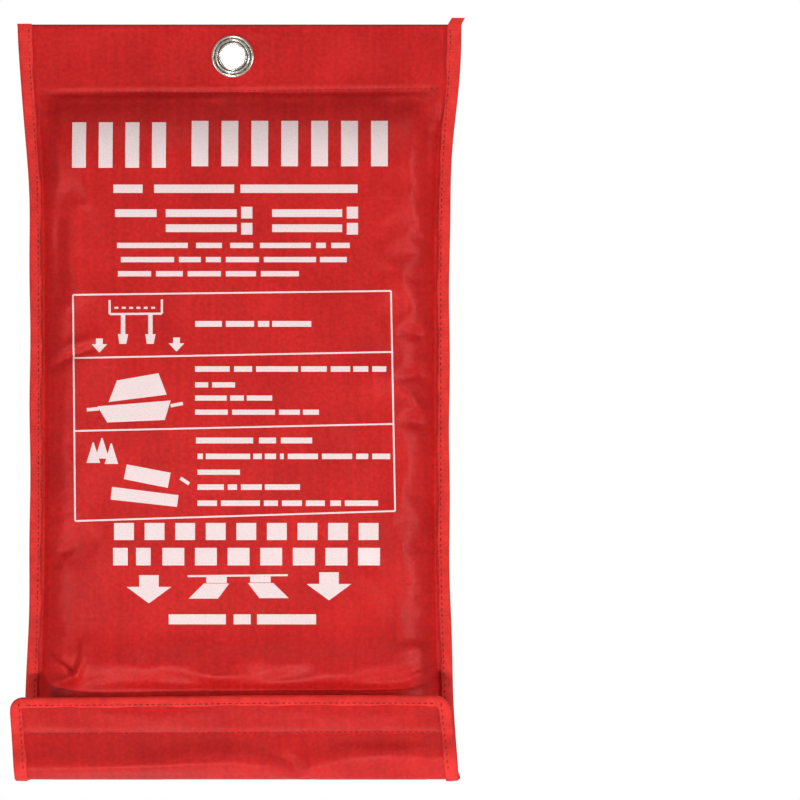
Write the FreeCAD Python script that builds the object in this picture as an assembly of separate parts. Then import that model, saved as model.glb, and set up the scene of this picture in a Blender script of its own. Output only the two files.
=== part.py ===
"""Fire blanket in its red hanging pouch, closed, as it hangs on a wall.

Millimetres. X runs to the right, Y towards the wall and Z up. The origin is the middle of the
hanging eyelet. The pouch is a flat back panel and a bulged front panel, bound together at their
sides. Below the mouth the back panel goes on as a fold and a flap, which closes over the mouth with
hook and loop strips. The folded blanket hangs inside, with two pull tapes on its lower edge.
"""

import os

import FreeCAD
import Part
from math import exp, pi, sin

Vec = FreeCAD.Vector

# Driving dimensions
pouch_height = 310.0
header_height = 28.3
eyelet_drop = 13.2  # top edge to the middle of the eyelet
pouch_centre_x = 2.9  # the eyelet sits a little left of the pouch's middle
waist_half_width = 86.4
top_flare = 5.1
top_flare_length = 45.0
foot_flare = 3.0
foot_flare_start = 200.0
flap_half_width = 92.0
flap_height = 33.5
mouth_height = 16.8  # the front panel's lower edge above the fold
cloth = 0.8  # thickness of one coated cloth layer
trim = 0.6  # thickness of the binding tape
air = 0.3  # gap between soft pieces that move past each other
draw_gap = 0.7  # room for the tapes' stitching as the blanket is drawn
thread_room = 0.5  # room for the loop strip's stitching under the flap's binding
panel_gap = 0.1  # between the two panels where they lie together
contact_gap = 0.05

blanket_side = 970.0
blanket_folds_across = 7
blanket_folds_down = 4
blanket_thickness = 10.6
blanket_back_gap = 2.1  # lets the drawn blanket pass the open flap's binding
blanket_drop = 13.0  # header seam to the folded blanket's top edge
blanket_corner = 5.3

tape_width = 15.0
tape_thickness = 1.0
tape_spacing = 44.0  # between the middles of the two tapes
tape_reach = 56.0  # from the tape's fold to its free end
tape_root_length = 16.0

fastener_width = 16.0
fastener_thickness = 1.2
fastener_half_length = 76.0

binding_width = 5.5
flap_binding_width = 6.0
flap_top_binding_width = 4.0
binding_tail = 2.7  # the right binding's cut end stands above the top edge

eyelet_bore_radius = 5.0
eyelet_wall = 0.5
eyelet_flange_radius = 8.6
eyelet_bead = 0.6

thread_width = 0.4
thread_height = 0.25
stitch_length = 1.5
stitch_pitch = 2.4
thread_clear = 1.0  # keeps the box stitching's sides off its corners

# Heights
top_z = eyelet_drop
seam_z = top_z - header_height
bottom_z = top_z - pouch_height
mouth_z = bottom_z + mouth_height
flap_top_z = bottom_z + flap_height
fold_axis_z = bottom_z + cloth / 2

blanket_width = blanket_side / blanket_folds_across
blanket_length = blanket_side / blanket_folds_down
blanket_top_z = seam_z - blanket_drop
blanket_bottom_z = blanket_top_z - blanket_length

tape_fold_z = mouth_z - tape_width / 2 - 2 * air

fastener_bottom_z = mouth_z + air
fastener_top_z = fastener_bottom_z + fastener_width
stitch_inset = 1.6

# Depths: the wall side of the pouch is at +Y and its front at -Y
back_y = cloth
blanket_back_y = -blanket_back_gap
blanket_front_y = blanket_back_y - blanket_thickness
tape_front_y = blanket_front_y - tape_thickness
mouth_depth = -tape_front_y + draw_gap
loop_y = -mouth_depth - cloth
loop_front_y = loop_y - fastener_thickness
binding_back_y = loop_front_y - air - thread_room
hook_y = binding_back_y - trim
flap_back_y = hook_y - fastener_thickness
flap_front_y = flap_back_y - cloth
flap_axis_y = flap_back_y - cloth / 2
back_axis_y = cloth / 2

bulge_rise = 26.0  # height over which the front panel reaches its full depth
bulge_sharpness = 2.2
crown = 1.2
side_exponent = 12
binding_sections = 14
panel_sections = 12
rise_sections = 7
points_across = 25

hole_length = 8 * cloth  # through both panels with room to spare
flap_turn_length = 3 * cloth  # where the fold's bindings end and the flap's begin


def box(x0, x1, y0, y1, z0, z1):
    """Solid box between two corners, measured from the pouch's middle in X."""
    corner = Vec(pouch_centre_x + x0, y0, z0)
    return Part.makeBox(x1 - x0, y1 - y0, z1 - z0, corner)


def half_width(z):
    """Half the pouch's width at a height: a waist, wider at the top and at the fold."""
    below_top = max(0.0, top_z - z)
    flare = top_flare * exp(-((below_top / top_flare_length) ** 2))
    foot = max(0.0, (below_top - foot_flare_start) / 100.0)
    return waist_half_width + flare + foot_flare * foot * foot


def bulge(z):
    """Depth of the front panel's inner face in front of the back panel at a height."""
    if z >= seam_z:
        return 0.0
    risen = min(1.0, (seam_z - z) / bulge_rise)
    swell = crown * sin(pi * (seam_z - z) / (seam_z - mouth_z))
    return (mouth_depth + swell) * (1.0 - (1.0 - risen) ** bulge_sharpness)


def seam_half(z):
    """Half the width between the bindings, where the two panels part."""
    return half_width(z) - binding_width - cloth


def front_y(x, z):
    """Inner face of the front panel: flat across the blanket, steep beside the seams."""
    share = min(1.0, abs(x) / seam_half(z))
    return -bulge(z) * (1.0 - share**side_exponent)


def spread(low, high, count):
    return [low + (high - low) * i / (count - 1) for i in range(count)]


def curve(points):
    spline = Part.BSplineCurve()
    spline.interpolate(points)
    return spline.toShape()


def across(half):
    """Places across the pouch, closer together towards the steep sides."""
    even = spread(-1.0, 1.0, points_across)
    return [half * sin(pi / 2 * place) for place in even]


def face_edges(half, z, outset):
    """One face of the front panel at a height, from left to right, moved out by outset."""
    reach = min(half, seam_half(z))
    places = across(reach)
    middle = [Vec(pouch_centre_x + x, front_y(x, z) - outset, z) for x in places]
    if half == reach:
        return [curve(middle)]
    left = Vec(pouch_centre_x - half, -outset, z)
    right = Vec(pouch_centre_x + half, -outset, z)
    return [Part.makeLine(left, middle[0]), curve(middle), Part.makeLine(middle[-1], right)]


def skin_section(half, z, outset, thickness):
    """Closed wire, level, round the front panel's cloth or a strip on it."""
    inner = face_edges(half, z, outset)
    outer = face_edges(half, z, outset + thickness)
    left = Part.makeLine(outer[0].Vertexes[0].Point, inner[0].Vertexes[0].Point)
    right = Part.makeLine(inner[-1].Vertexes[-1].Point, outer[-1].Vertexes[-1].Point)
    return Part.Wire(inner + [right] + outer[::-1] + [left])


def skin(half_at, heights, outset, thickness):
    sections = [skin_section(half_at(z), z, outset, thickness) for z in heights]
    return Part.makeLoft(sections, True, False)


def flat_panel(half_at, z_low, z_high, y_low, y_high):
    """Flat sheet whose two sides follow half_at."""
    heights = spread(z_low, z_high, binding_sections)
    right = [Vec(pouch_centre_x + half_at(z), y_low, z) for z in heights]
    left = [Vec(pouch_centre_x - half_at(z), y_low, z) for z in heights]
    edges = [
        curve(right),
        Part.makeLine(right[-1], left[-1]),
        curve(left[::-1]),
        Part.makeLine(left[0], right[0]),
    ]
    return Part.Face(Part.Wire(edges)).extrude(Vec(0, y_high - y_low, 0))


def eyelet_hole():
    start = Vec(0, -hole_length / 2, 0)
    radius = eyelet_bore_radius + eyelet_wall + contact_gap
    return Part.makeCylinder(radius, hole_length, start, Vec(0, 1, 0))


def panel_half(z):
    return half_width(z) - trim - contact_gap


def back_panel():
    panel = flat_panel(panel_half, bottom_z, top_z, 0.0, back_y)
    return panel.cut(eyelet_hole())


def front_panel():
    """Front panel with its flat header, one piece of cloth."""
    header = flat_panel(panel_half, seam_z, top_z, -cloth, -panel_gap)
    rise = spread(seam_z, seam_z - bulge_rise, rise_sections)
    body = spread(seam_z - bulge_rise, mouth_z, panel_sections)[1:]
    bulged = skin(panel_half, rise + body, panel_gap, cloth - panel_gap)
    return header.cut(eyelet_hole()).fuse(bulged)


def side_binding(side, z_high):
    """Tape folded over one side edge of both panels."""
    sections = []
    y_front = -cloth - trim
    y_back = back_y + trim
    z_low = bottom_z + cloth + trim + air
    for z in spread(z_low, z_high, binding_sections):
        outer = half_width(z)
        profile = [
            (outer - binding_width, y_front),
            (outer, y_front),
            (outer, y_back),
            (outer - binding_width, y_back),
            (outer - binding_width, back_y),
            (outer - trim, back_y),
            (outer - trim, -cloth),
            (outer - binding_width, -cloth),
        ]
        points = [Vec(pouch_centre_x + side * x, y, z) for x, y in profile]
        sections.append(Part.makePolygon(points + points[:1]))
    return Part.makeLoft(sections, True, False)


def ring(points):
    """Ring turned round the eyelet's axis from points of (radius, y)."""
    outline = [Vec(radius, y, 0) for radius, y in points]
    face = Part.Face(Part.makePolygon(outline + outline[:1]))
    return face.revolve(Vec(0, 0, 0), Vec(0, 1, 0), 360)


def bead(radius, y, half_round):
    """Rolled edge: a torus round the eyelet's axis."""
    return Part.makeTorus(radius, half_round, Vec(0, y, 0), Vec(0, 1, 0))


def eyelet():
    """Eyelet with a rolled flange at the front and its barrel turned over at the back."""
    bore = eyelet_bore_radius
    barrel = bore + eyelet_wall
    flange_y = -cloth - eyelet_bead
    lip_y = back_y + 2 * eyelet_bead
    body = ring(
        [
            (bore, flange_y),
            (eyelet_flange_radius - eyelet_bead, flange_y),
            (eyelet_flange_radius - eyelet_bead, -cloth),
            (barrel, -cloth),
            (barrel, lip_y),
            (bore, lip_y),
        ]
    )
    rim = bead(eyelet_flange_radius - eyelet_bead, -cloth - eyelet_bead, eyelet_bead)
    lip = bead(bore + eyelet_bead, flange_y - eyelet_bead / 2, eyelet_bead)
    turned = bead(bore + eyelet_bead, lip_y, eyelet_bead)
    clear = Part.makeCylinder(bore, hole_length, Vec(0, -hole_length / 2, 0), Vec(0, 1, 0))
    return body.fuse([rim, lip, turned]).cut(clear).removeSplitter()


def eyelet_washer():
    inner = eyelet_bore_radius + eyelet_wall + contact_gap
    outer = eyelet_flange_radius - eyelet_bead
    return ring(
        [
            (inner, back_y),
            (outer, back_y),
            (outer, back_y + eyelet_bead),
            (inner, back_y + eyelet_bead),
        ]
    )


def loop_strip():
    """Loop strip on the front panel along the mouth."""
    heights = spread(fastener_bottom_z, fastener_top_z, 4)
    return skin(lambda z: fastener_half_length, heights, cloth, fastener_thickness)


def bottom_fold():
    """Strip of the back panel's cloth that passes under the mouth."""
    start = back_axis_y - cloth
    end = flap_axis_y + cloth
    half = flap_half_width - trim - contact_gap
    return box(-half, half, end, start, bottom_z, bottom_z + cloth)


def wrapped_edge(outer, inner, cloth_low, cloth_high):
    """Section of a tape folded over an edge, as (across, through) points."""
    return [
        (inner, cloth_low - trim),
        (outer, cloth_low - trim),
        (outer, cloth_high + trim),
        (inner, cloth_high + trim),
        (inner, cloth_high),
        (outer - trim, cloth_high),
        (outer - trim, cloth_low),
        (inner, cloth_low),
    ]


def fold_binding(side):
    """Side binding of the fold, running from back to front."""
    start = back_axis_y - cloth
    end = flap_axis_y + flap_turn_length
    inner = flap_half_width - flap_binding_width
    profile = wrapped_edge(flap_half_width, inner, bottom_z, bottom_z + cloth)
    points = [Vec(pouch_centre_x + side * x, start, z) for x, z in profile]
    face = Part.Face(Part.makePolygon(points + points[:1]))
    return face.extrude(Vec(0, end - start, 0))


def flap_panel():
    half = flap_half_width - trim - contact_gap
    top = flap_top_z - trim - contact_gap
    return box(-half, half, flap_front_y, flap_back_y, bottom_z, top)


def flap_binding(side):
    inner = flap_half_width - flap_binding_width
    profile = wrapped_edge(flap_half_width, inner, flap_front_y, flap_back_y)
    base_z = bottom_z + flap_turn_length
    points = [Vec(pouch_centre_x + side * x, y, base_z) for x, y in profile]
    face = Part.Face(Part.makePolygon(points + points[:1]))
    return face.extrude(Vec(0, 0, flap_top_z - base_z))


def flap_top_binding():
    """Binding over the flap's free edge and over the top of the hook strip."""
    inner = flap_top_z - flap_top_binding_width
    profile = wrapped_edge(flap_top_z, inner, flap_front_y, hook_y)
    half = flap_half_width - flap_binding_width - contact_gap
    points = [Vec(pouch_centre_x - half, y, z) for z, y in profile]
    face = Part.Face(Part.makePolygon(points + points[:1]))
    return face.extrude(Vec(2 * half, 0, 0))


def hook_strip():
    half = flap_half_width - flap_binding_width - cloth
    top = flap_top_z - trim - contact_gap
    return box(-half, half, flap_back_y, hook_y, top - fastener_width, top)


def folded_blanket():
    half = blanket_width / 2
    pack = box(
        -half, half, blanket_front_y, blanket_back_y, blanket_bottom_z, blanket_top_z
    )
    return pack.makeFillet(blanket_corner - contact_gap, pack.Edges)


def tape_outline(points, y_low, thickness):
    """Flat piece of tape from (x, z) points."""
    outline = [Vec(pouch_centre_x + x, y_low, z) for x, z in points]
    face = Part.Face(Part.makePolygon(outline + outline[:1]))
    return face.extrude(Vec(0, thickness, 0))


def tape_root(side):
    """Tape sewn on the blanket's front, hanging from its lower edge to the folded corner."""
    inner = tape_spacing / 2 - tape_width / 2
    outer = tape_spacing / 2 + tape_width / 2
    fold_top = tape_fold_z + tape_width / 2
    fold_bottom = tape_fold_z - tape_width / 2
    root_top = blanket_bottom_z + blanket_corner + tape_root_length
    points = [
        (side * inner, root_top),
        (side * outer, root_top),
        (side * outer, fold_bottom + 2 * air),
        (side * inner, fold_top + 2 * air),
    ]
    return tape_outline(points, tape_front_y, tape_thickness)


def pull_tape(side):
    """Free end of the tape, folded outwards across the pocket under the flap."""
    middle = tape_spacing / 2
    inner = middle - tape_width / 2
    outer = middle + tape_width / 2
    fold_top = tape_fold_z + tape_width / 2
    fold_bottom = tape_fold_z - tape_width / 2
    points = [
        (side * (inner + 2 * air), fold_top),
        (side * (middle + tape_reach), fold_top),
        (side * (middle + tape_reach), fold_bottom),
        (side * (outer + 2 * air), fold_bottom),
    ]
    y_low = tape_front_y - air - tape_thickness
    return tape_outline(points, y_low, tape_thickness)


def stitch(x, y, z, length_x, length_z):
    """One stitch lying on a face that looks to the front, y being that face."""
    top = y - contact_gap
    return box(
        x - length_x / 2,
        x + length_x / 2,
        top - thread_height,
        top,
        z - length_z / 2,
        z + length_z / 2,
    )


def steps(low, high):
    count = int((high - low) / stitch_pitch)
    return [low + (high - low) * (i + 0.5) / count for i in range(count)]


def row_across(half, y, z):
    places = steps(-half, half)
    return [stitch(x, y, z, stitch_length, thread_width) for x in places]


def row_down(x_at, y, z_low, z_high):
    heights = steps(z_low, z_high)
    return [stitch(x_at(z), y, z, thread_width, stitch_length) for z in heights]


def header_seam_thread():
    half = half_width(seam_z) - binding_width - stitch_inset
    return Part.makeCompound(row_across(half, -cloth, seam_z + stitch_inset))


def side_binding_thread(side):
    def inner_edge(z):
        return side * (half_width(z) - binding_width + stitch_inset / 2)

    y = -cloth - trim
    return Part.makeCompound(row_down(inner_edge, y, mouth_z, top_z - stitch_inset))


def flap_thread():
    """Stitching on the flap's front: the hook strip's lower row and the binding's rows."""
    half = flap_half_width - flap_binding_width - stitch_inset
    strip_row_z = flap_top_z - fastener_width + stitch_inset
    top_row_z = flap_top_z - flap_top_binding_width + stitch_inset / 2
    side_x = flap_half_width - flap_binding_width + stitch_inset / 2
    stitches = row_across(half, flap_front_y, strip_row_z)
    stitches += row_across(half, flap_front_y - trim, top_row_z)
    for side in (-1, 1):
        x = side * side_x
        low = bottom_z + flap_turn_length + cloth
        stitches += row_down(lambda z: x, flap_front_y - trim, low, flap_top_z - stitch_inset)
    return Part.makeCompound(stitches)


def loop_strip_thread():
    stitches = []
    half = fastener_half_length - 2 * stitch_inset
    for z in (fastener_bottom_z + stitch_inset, fastener_top_z - stitch_inset):
        for x in steps(-half, half):
            ends = [front_y(x + shift, z) for shift in (-stitch_length, 0, stitch_length)]
            y = min(ends) - cloth - fastener_thickness
            stitches.append(stitch(x, y, z, stitch_length, thread_width))
    return Part.makeCompound(stitches)


def tape_thread(side):
    """Box of stitches that holds a tape on the blanket."""
    middle = side * tape_spacing / 2
    half = tape_width / 2 - stitch_inset
    low = blanket_bottom_z + blanket_corner + stitch_inset
    high = blanket_bottom_z + blanket_corner + tape_root_length - stitch_inset
    stitches = []
    for z in (low, high):
        for x in steps(-half, half):
            stitches.append(
                stitch(middle + x, tape_front_y + contact_gap / 2, z, stitch_length, thread_width)
            )
    for x in (middle - half, middle + half):
        stitches += row_down(
            lambda z: x, tape_front_y + contact_gap / 2, low + thread_clear, high - thread_clear
        )
    return Part.makeCompound(stitches)


def parts():
    made = {
        "back_panel": back_panel(),
        "front_panel": front_panel(),
        "left_binding": side_binding(-1, top_z),
        "right_binding": side_binding(1, top_z + binding_tail),
        "eyelet": eyelet(),
        "eyelet_washer": eyelet_washer(),
        "loop_strip": loop_strip(),
        "header_seam_thread": header_seam_thread(),
        "loop_strip_thread": loop_strip_thread(),
        "bottom_fold": bottom_fold(),
        "flap_panel": flap_panel(),
        "flap_top_binding": flap_top_binding(),
        "hook_strip": hook_strip(),
        "flap_thread": flap_thread(),
        "folded_blanket": folded_blanket(),
    }
    for name, side in (("left", -1), ("right", 1)):
        made[name + "_binding_thread"] = side_binding_thread(side)
        made["fold_" + name + "_binding"] = fold_binding(side)
        made["flap_" + name + "_binding"] = flap_binding(side)
        made[name + "_tape_root"] = tape_root(side)
        made[name + "_tape_thread"] = tape_thread(side)
        made[name + "_pull_tape"] = pull_tape(side)
    return made


def main():
    os.makedirs("parts", exist_ok=True)
    for name, shape in parts().items():
        shape.exportStep(os.path.join("parts", name + ".step"))
        extent = shape.BoundBox
        print(
            f"{name:22s} valid {shape.isValid()} solids {len(shape.Solids):3d} "
            f"volume {shape.Volume:9.1f}  y {extent.YMin:7.2f} {extent.YMax:6.2f}"
            f"  z {extent.ZMin:8.2f} {extent.ZMax:8.2f}"
        )
    print("fold axis y, z:", back_axis_y, fold_axis_z, "flap axis y:", flap_axis_y)
    hinge_y = tape_front_y - air / 2
    print("tape hinge x, y, z:", tape_spacing / 2, hinge_y, tape_fold_z)


main()
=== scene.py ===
"""Look of the fire blanket pouch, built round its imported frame.

Metres. X runs to the right, Y towards the wall and Z up, and the origin is the middle of the
hanging eyelet. Places on the pouch are given as millimetres across from its middle and down from
its top edge. Every piece of cloth is a closed sheet with its own thickness.
"""

from math import cos, pi, radians, sin

import bmesh
import bpy
import numpy as np
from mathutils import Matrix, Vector


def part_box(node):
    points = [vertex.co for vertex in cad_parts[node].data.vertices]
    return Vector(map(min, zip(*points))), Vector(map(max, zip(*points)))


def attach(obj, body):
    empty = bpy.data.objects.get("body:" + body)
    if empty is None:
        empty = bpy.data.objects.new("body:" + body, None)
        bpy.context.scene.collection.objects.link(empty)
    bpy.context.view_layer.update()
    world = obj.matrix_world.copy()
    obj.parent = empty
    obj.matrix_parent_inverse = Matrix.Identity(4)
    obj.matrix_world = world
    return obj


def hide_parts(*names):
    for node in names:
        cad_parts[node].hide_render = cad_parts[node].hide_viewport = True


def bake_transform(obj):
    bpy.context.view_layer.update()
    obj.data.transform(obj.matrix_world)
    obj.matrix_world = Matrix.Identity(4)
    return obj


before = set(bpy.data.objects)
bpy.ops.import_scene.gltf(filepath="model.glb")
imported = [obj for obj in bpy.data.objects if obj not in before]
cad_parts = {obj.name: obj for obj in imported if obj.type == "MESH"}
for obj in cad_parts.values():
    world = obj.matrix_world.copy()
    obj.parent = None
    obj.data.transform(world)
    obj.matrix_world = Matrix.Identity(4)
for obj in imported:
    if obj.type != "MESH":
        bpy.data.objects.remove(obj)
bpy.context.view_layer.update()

MM = 0.001

# The frame's own places
back_low, back_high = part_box("back_panel")
front_low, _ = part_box("front_panel")
flap_low, flap_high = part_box("flap_panel")
fold_low, fold_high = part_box("bottom_fold")
hook_low, hook_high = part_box("hook_strip")
loop_low, loop_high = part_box("loop_strip")
blanket_low, blanket_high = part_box("folded_blanket")
_, top_binding_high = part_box("flap_top_binding")
_, flap_side_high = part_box("flap_right_binding")
root_low, root_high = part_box("right_tape_root")
pull_low, pull_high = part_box("right_pull_tape")

centre_x = (back_low[0] + back_high[0]) / 2
top_z = back_high[2]
bottom_z = back_low[2]
mouth_z = front_low[2]
flap_top_z = top_binding_high[2]
cloth = back_high[1] - back_low[1]
trim = 0.6 * MM
header_height = 28.3 * MM
seam_z = top_z - header_height
fold_mid_z = (fold_low[2] + fold_high[2]) / 2
back_mid_y = (back_low[1] + back_high[1]) / 2
flap_mid_y = (flap_low[1] + flap_high[1]) / 2
flap_half_width = flap_side_high[0] - centre_x

waist_half_width = 86.4 * MM
top_flare = 5.1 * MM
top_flare_length = 45 * MM
foot_flare = 3.0 * MM
foot_flare_start = 200 * MM
foot_flare_length = 100 * MM
binding_width = 5.5 * MM
flap_binding_width = 6.0 * MM
binding_tail = 2.7 * MM
mouth_depth = 14.4 * MM
crown = 1.2 * MM
bulge_rise = 30 * MM
bulge_sharpness = 2.1
side_exponent = 12
eyelet_bore = 5.0 * MM

forward = (0.0, -1.0, 0.0)
backward = (0.0, 1.0, 0.0)

stitch_length = 1.6 * MM
stitch_pitch = 2.4 * MM
stitch_width = 0.42 * MM


# Shapes of the cloth


def height_at(surface, across, z):
    """One value of a surface that takes arrays of places."""
    return float(surface(np.array([across]), np.array([z]))[0])


def smooth(t):
    t = np.clip(t, 0.0, 1.0)
    return t * t * (3.0 - 2.0 * t)


def half_width(z):
    """Half the pouch's width at a height."""
    below_top = np.maximum(0.0, top_z - z)
    flare = top_flare * np.exp(-((below_top / top_flare_length) ** 2))
    foot = np.maximum(0.0, (below_top - foot_flare_start) / foot_flare_length)
    return waist_half_width + flare + foot_flare * foot * foot


def waves(x, z, seed, length, stretch=1.0):
    """Smooth random waves between about -1 and 1, drawn out vertically by stretch."""
    draw = np.random.default_rng(seed)
    total = np.zeros_like(x)
    count = 9
    for _ in range(count):
        angle = draw.uniform(0.0, 2.0 * pi)
        scale = draw.uniform(0.7, 1.5) * 2.0 * pi / length
        phase = draw.uniform(0.0, 2.0 * pi)
        total += np.sin(scale * (cos(angle) * x + sin(angle) * z / stretch) + phase)
    return total / count**0.5 / 1.4


def path_distance(x, drop, path):
    """Distance from a path of (across, down) points, and how far along it, 0 to 1."""
    best = np.full_like(x, 1e9)
    where = np.zeros_like(x)
    lengths = [
        ((b[0] - a[0]) ** 2 + (b[1] - a[1]) ** 2) ** 0.5 for a, b in zip(path, path[1:])
    ]
    done = 0.0
    for (a, b), length in zip(zip(path, path[1:]), lengths):
        along = ((x - a[0]) * (b[0] - a[0]) + (drop - a[1]) * (b[1] - a[1])) / length**2
        along = np.clip(along, 0.0, 1.0)
        gap = np.hypot(x - a[0] - along * (b[0] - a[0]), drop - a[1] - along * (b[1] - a[1]))
        nearer = gap < best
        best = np.where(nearer, gap, best)
        where = np.where(nearer, (done + along * length) / sum(lengths), where)
        done += length
    return best, where


def crease(x, drop, path, width, height):
    """A ridge, or a valley where height is negative, that fades out at its two ends."""
    gap, where = path_distance(x, drop, path)
    fade = np.sqrt(np.clip(np.sin(pi * (0.06 + 0.88 * where)), 0.0, 1.0))
    return height * fade * np.exp(-((gap / width) ** 2))


# Wrinkles of the front panel: path across and down, width, height towards the front
crease_strength = 1.45
front_creases = [
    # beside the left seam, under the header
    ([(-75, 34), (-75.5, 52), (-74.5, 76)], 3.6, 1.1),
    ([(-80.5, 32), (-79.5, 44), (-80.5, 66)], 2.6, -0.8),
    ([(-73, 70), (-74.5, 88), (-73.5, 112)], 3.0, -1.5),
    ([(-68, 76), (-69, 96), (-67, 112)], 3.5, 0.6),
    ([(-60, 133), (-70, 137), (-79, 142)], 1.8, -0.9),
    ([(-58, 129), (-70, 133), (-79, 137)], 2.6, 0.5),
    ([(-72, 214), (-69, 218)], 4.5, -1.1),
    ([(-83, 202), (-76, 203)], 1.9, -0.9),
    ([(-83, 220), (-75, 222)], 2.0, -0.9),
    ([(-83, 246), (-74, 248)], 2.2, -1.0),
    ([(-82, 233), (-76, 235)], 2.6, 0.6),
    # beside the right seam
    ([(79, 30), (78, 50), (79, 76)], 3.4, -1.3),
    ([(72, 34), (71.5, 56), (72.5, 80)], 4.0, 0.7),
    ([(70, 126), (75, 129)], 2.6, -1.1),
    ([(75, 136), (81, 132)], 2.6, -1.2),
    ([(76, 131), (81, 128)], 1.6, 0.7),
    ([(68, 145), (74, 144), (80, 147)], 2.6, -1.2),
    ([(70, 152), (73, 156), (76, 159)], 2.0, 0.8),
    ([(69, 163), (76, 164)], 2.8, -1.1),
    ([(50, 221), (57, 224)], 4.5, -0.8),
    ([(78, 198), (82, 204), (82, 210)], 2.0, 0.9),
    ([(76, 233), (82, 235)], 2.0, 0.8),
    ([(75, 214), (83, 216)], 2.2, -0.8),
    ([(76, 246), (83, 248)], 2.0, -0.6),
    ([(70.5, 268.5), (77, 266.5), (83.5, 264)], 1.7, 1.5),
    ([(73, 259), (79, 262)], 3.6, 0.9),
    ([(75, 271.5), (83, 271)], 1.8, -1.4),
    # the corner creases at the foot
    ([(-83, 254), (-77, 261), (-69.5, 266)], 1.5, 1.7),
    ([(-82.5, 273.5), (-73, 270), (-66.5, 267.5), (-64.5, 262), (-64, 255)], 1.6, 1.8),
    ([(-71, 262), (-68.5, 264.5), (-67, 261)], 1.7, -1.3),
    ([(-62, 270.5), (-54, 271)], 2.2, -1.2),
    ([(-82, 263), (-75, 267.5)], 2.2, -1.3),
    ([(-52, 262), (-38, 265), (-22, 263)], 4.0, 0.8),
    ([(-18, 267), (-9, 268.5), (2, 268)], 2.6, 1.0),
    ([(-30, 268), (-20, 271), (-4, 274)], 2.6, -1.0),
    ([(4, 274), (18, 268), (28, 266)], 2.6, -0.9),
    ([(26, 272), (36, 268), (48, 268)], 3.4, 0.9),
    ([(44, 273), (60, 268), (72, 266)], 2.8, -0.9),
    ([(62, 258), (72, 256), (80, 258)], 2.4, 0.8),
]


relief_rows = 150
relief_columns = 100
relief = np.zeros((relief_rows, relief_columns))


def seam_half(z):
    return half_width(z) - binding_width - cloth


def relief_at(across, z):
    """How far the simulated cloth stands out from the modelled one at places on the panel."""
    row_at = np.clip((seam_z - z) / (seam_z - mouth_z), 0.0, 1.0) * (relief_rows - 1)
    column_at = (np.clip(across / seam_half(z), -1.0, 1.0) + 1.0) / 2.0 * (relief_columns - 1)
    i = np.minimum(row_at.astype(int), relief_rows - 2)
    j = np.minimum(column_at.astype(int), relief_columns - 2)
    a = row_at - i
    b = column_at - j
    above = relief[i, j] * (1 - b) + relief[i, j + 1] * b
    below = relief[i + 1, j] * (1 - b) + relief[i + 1, j + 1] * b
    return above * (1 - a) + below * a


seam_slope = 0.0115


def seam_drop(x_mm):
    """How far down the header seam runs: it is sewn a little askew."""
    return 27.6 - seam_slope * x_mm


def front_surface(across, z):
    """Outer face of the front panel, in metres, with its wrinkles. across is from the middle."""
    return modelled_front(across, z) - relief_at(across, z)


# Down the panel, in millimetres: where it is fullest, and where it dives under the flap's edge
fullest_drop = 265.0
full_spread = 9.5
dive_drop = 269.5
dive_length = 5.0
crease_fade = 3.5


def fullness(x_mm, drop, from_seam):
    """How far the cloth stands out: most above the flap and to the right, with slight waves and
    small puckers beside the side seams."""
    height = 2.6 + 1.9 * smooth((x_mm + 70.0) / 80.0)
    height *= np.exp(-(((drop - fullest_drop) / full_spread) ** 2))
    height += 0.35 * waves(x_mm, drop, 11, 60.0, 1.6)
    height += 0.12 * waves(x_mm, drop, 12, 19.0, 1.4)
    height += 0.035 * waves(x_mm, drop, 13, 6.0, 3.0)
    near_seam = np.exp(-(from_seam / 5.0))
    return height + near_seam * 0.35 * waves(x_mm * 0.25, drop, 14, 7.0)


def all_creases(x_mm, drop):
    """Height of the front's creases, which end where the cloth dives, later at its corners."""
    height = np.zeros_like(x_mm)
    for path, width, rise in front_creases:
        height += crease(x_mm, drop, path, width, rise * crease_strength)
    reach = 268.0 + 4.0 * smooth((np.abs(x_mm) - 58.0) / 8.0)
    return height * (1.0 - smooth((drop - reach) / crease_fade))


def seam_groove(x_mm, drop):
    """The header seam's groove between two low swells."""
    below = drop - seam_drop(x_mm)
    groove = -0.55 * np.exp(-((below / 0.9) ** 2))
    groove += 0.35 * np.exp(-(((below - 2.6) / 1.3) ** 2))
    return groove + 0.22 * np.exp(-(((below + 2.4) / 1.2) ** 2))


def header_waves(across, z):
    """Slight waves of the flat header, clear of the eyelet and of the top edge."""
    x_mm = across / MM
    drop = (top_z - z) / MM
    flat = 0.55 * waves(x_mm, drop, 15, 34.0) + 0.05 * waves(x_mm, drop, 16, 8.0)
    eyelet_gap = np.hypot(across + centre_x, z) / MM
    clear = smooth((eyelet_gap - 9.0) / 8.0) * smooth(drop / 4.0)
    return np.maximum(flat, -0.15) * clear


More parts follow.
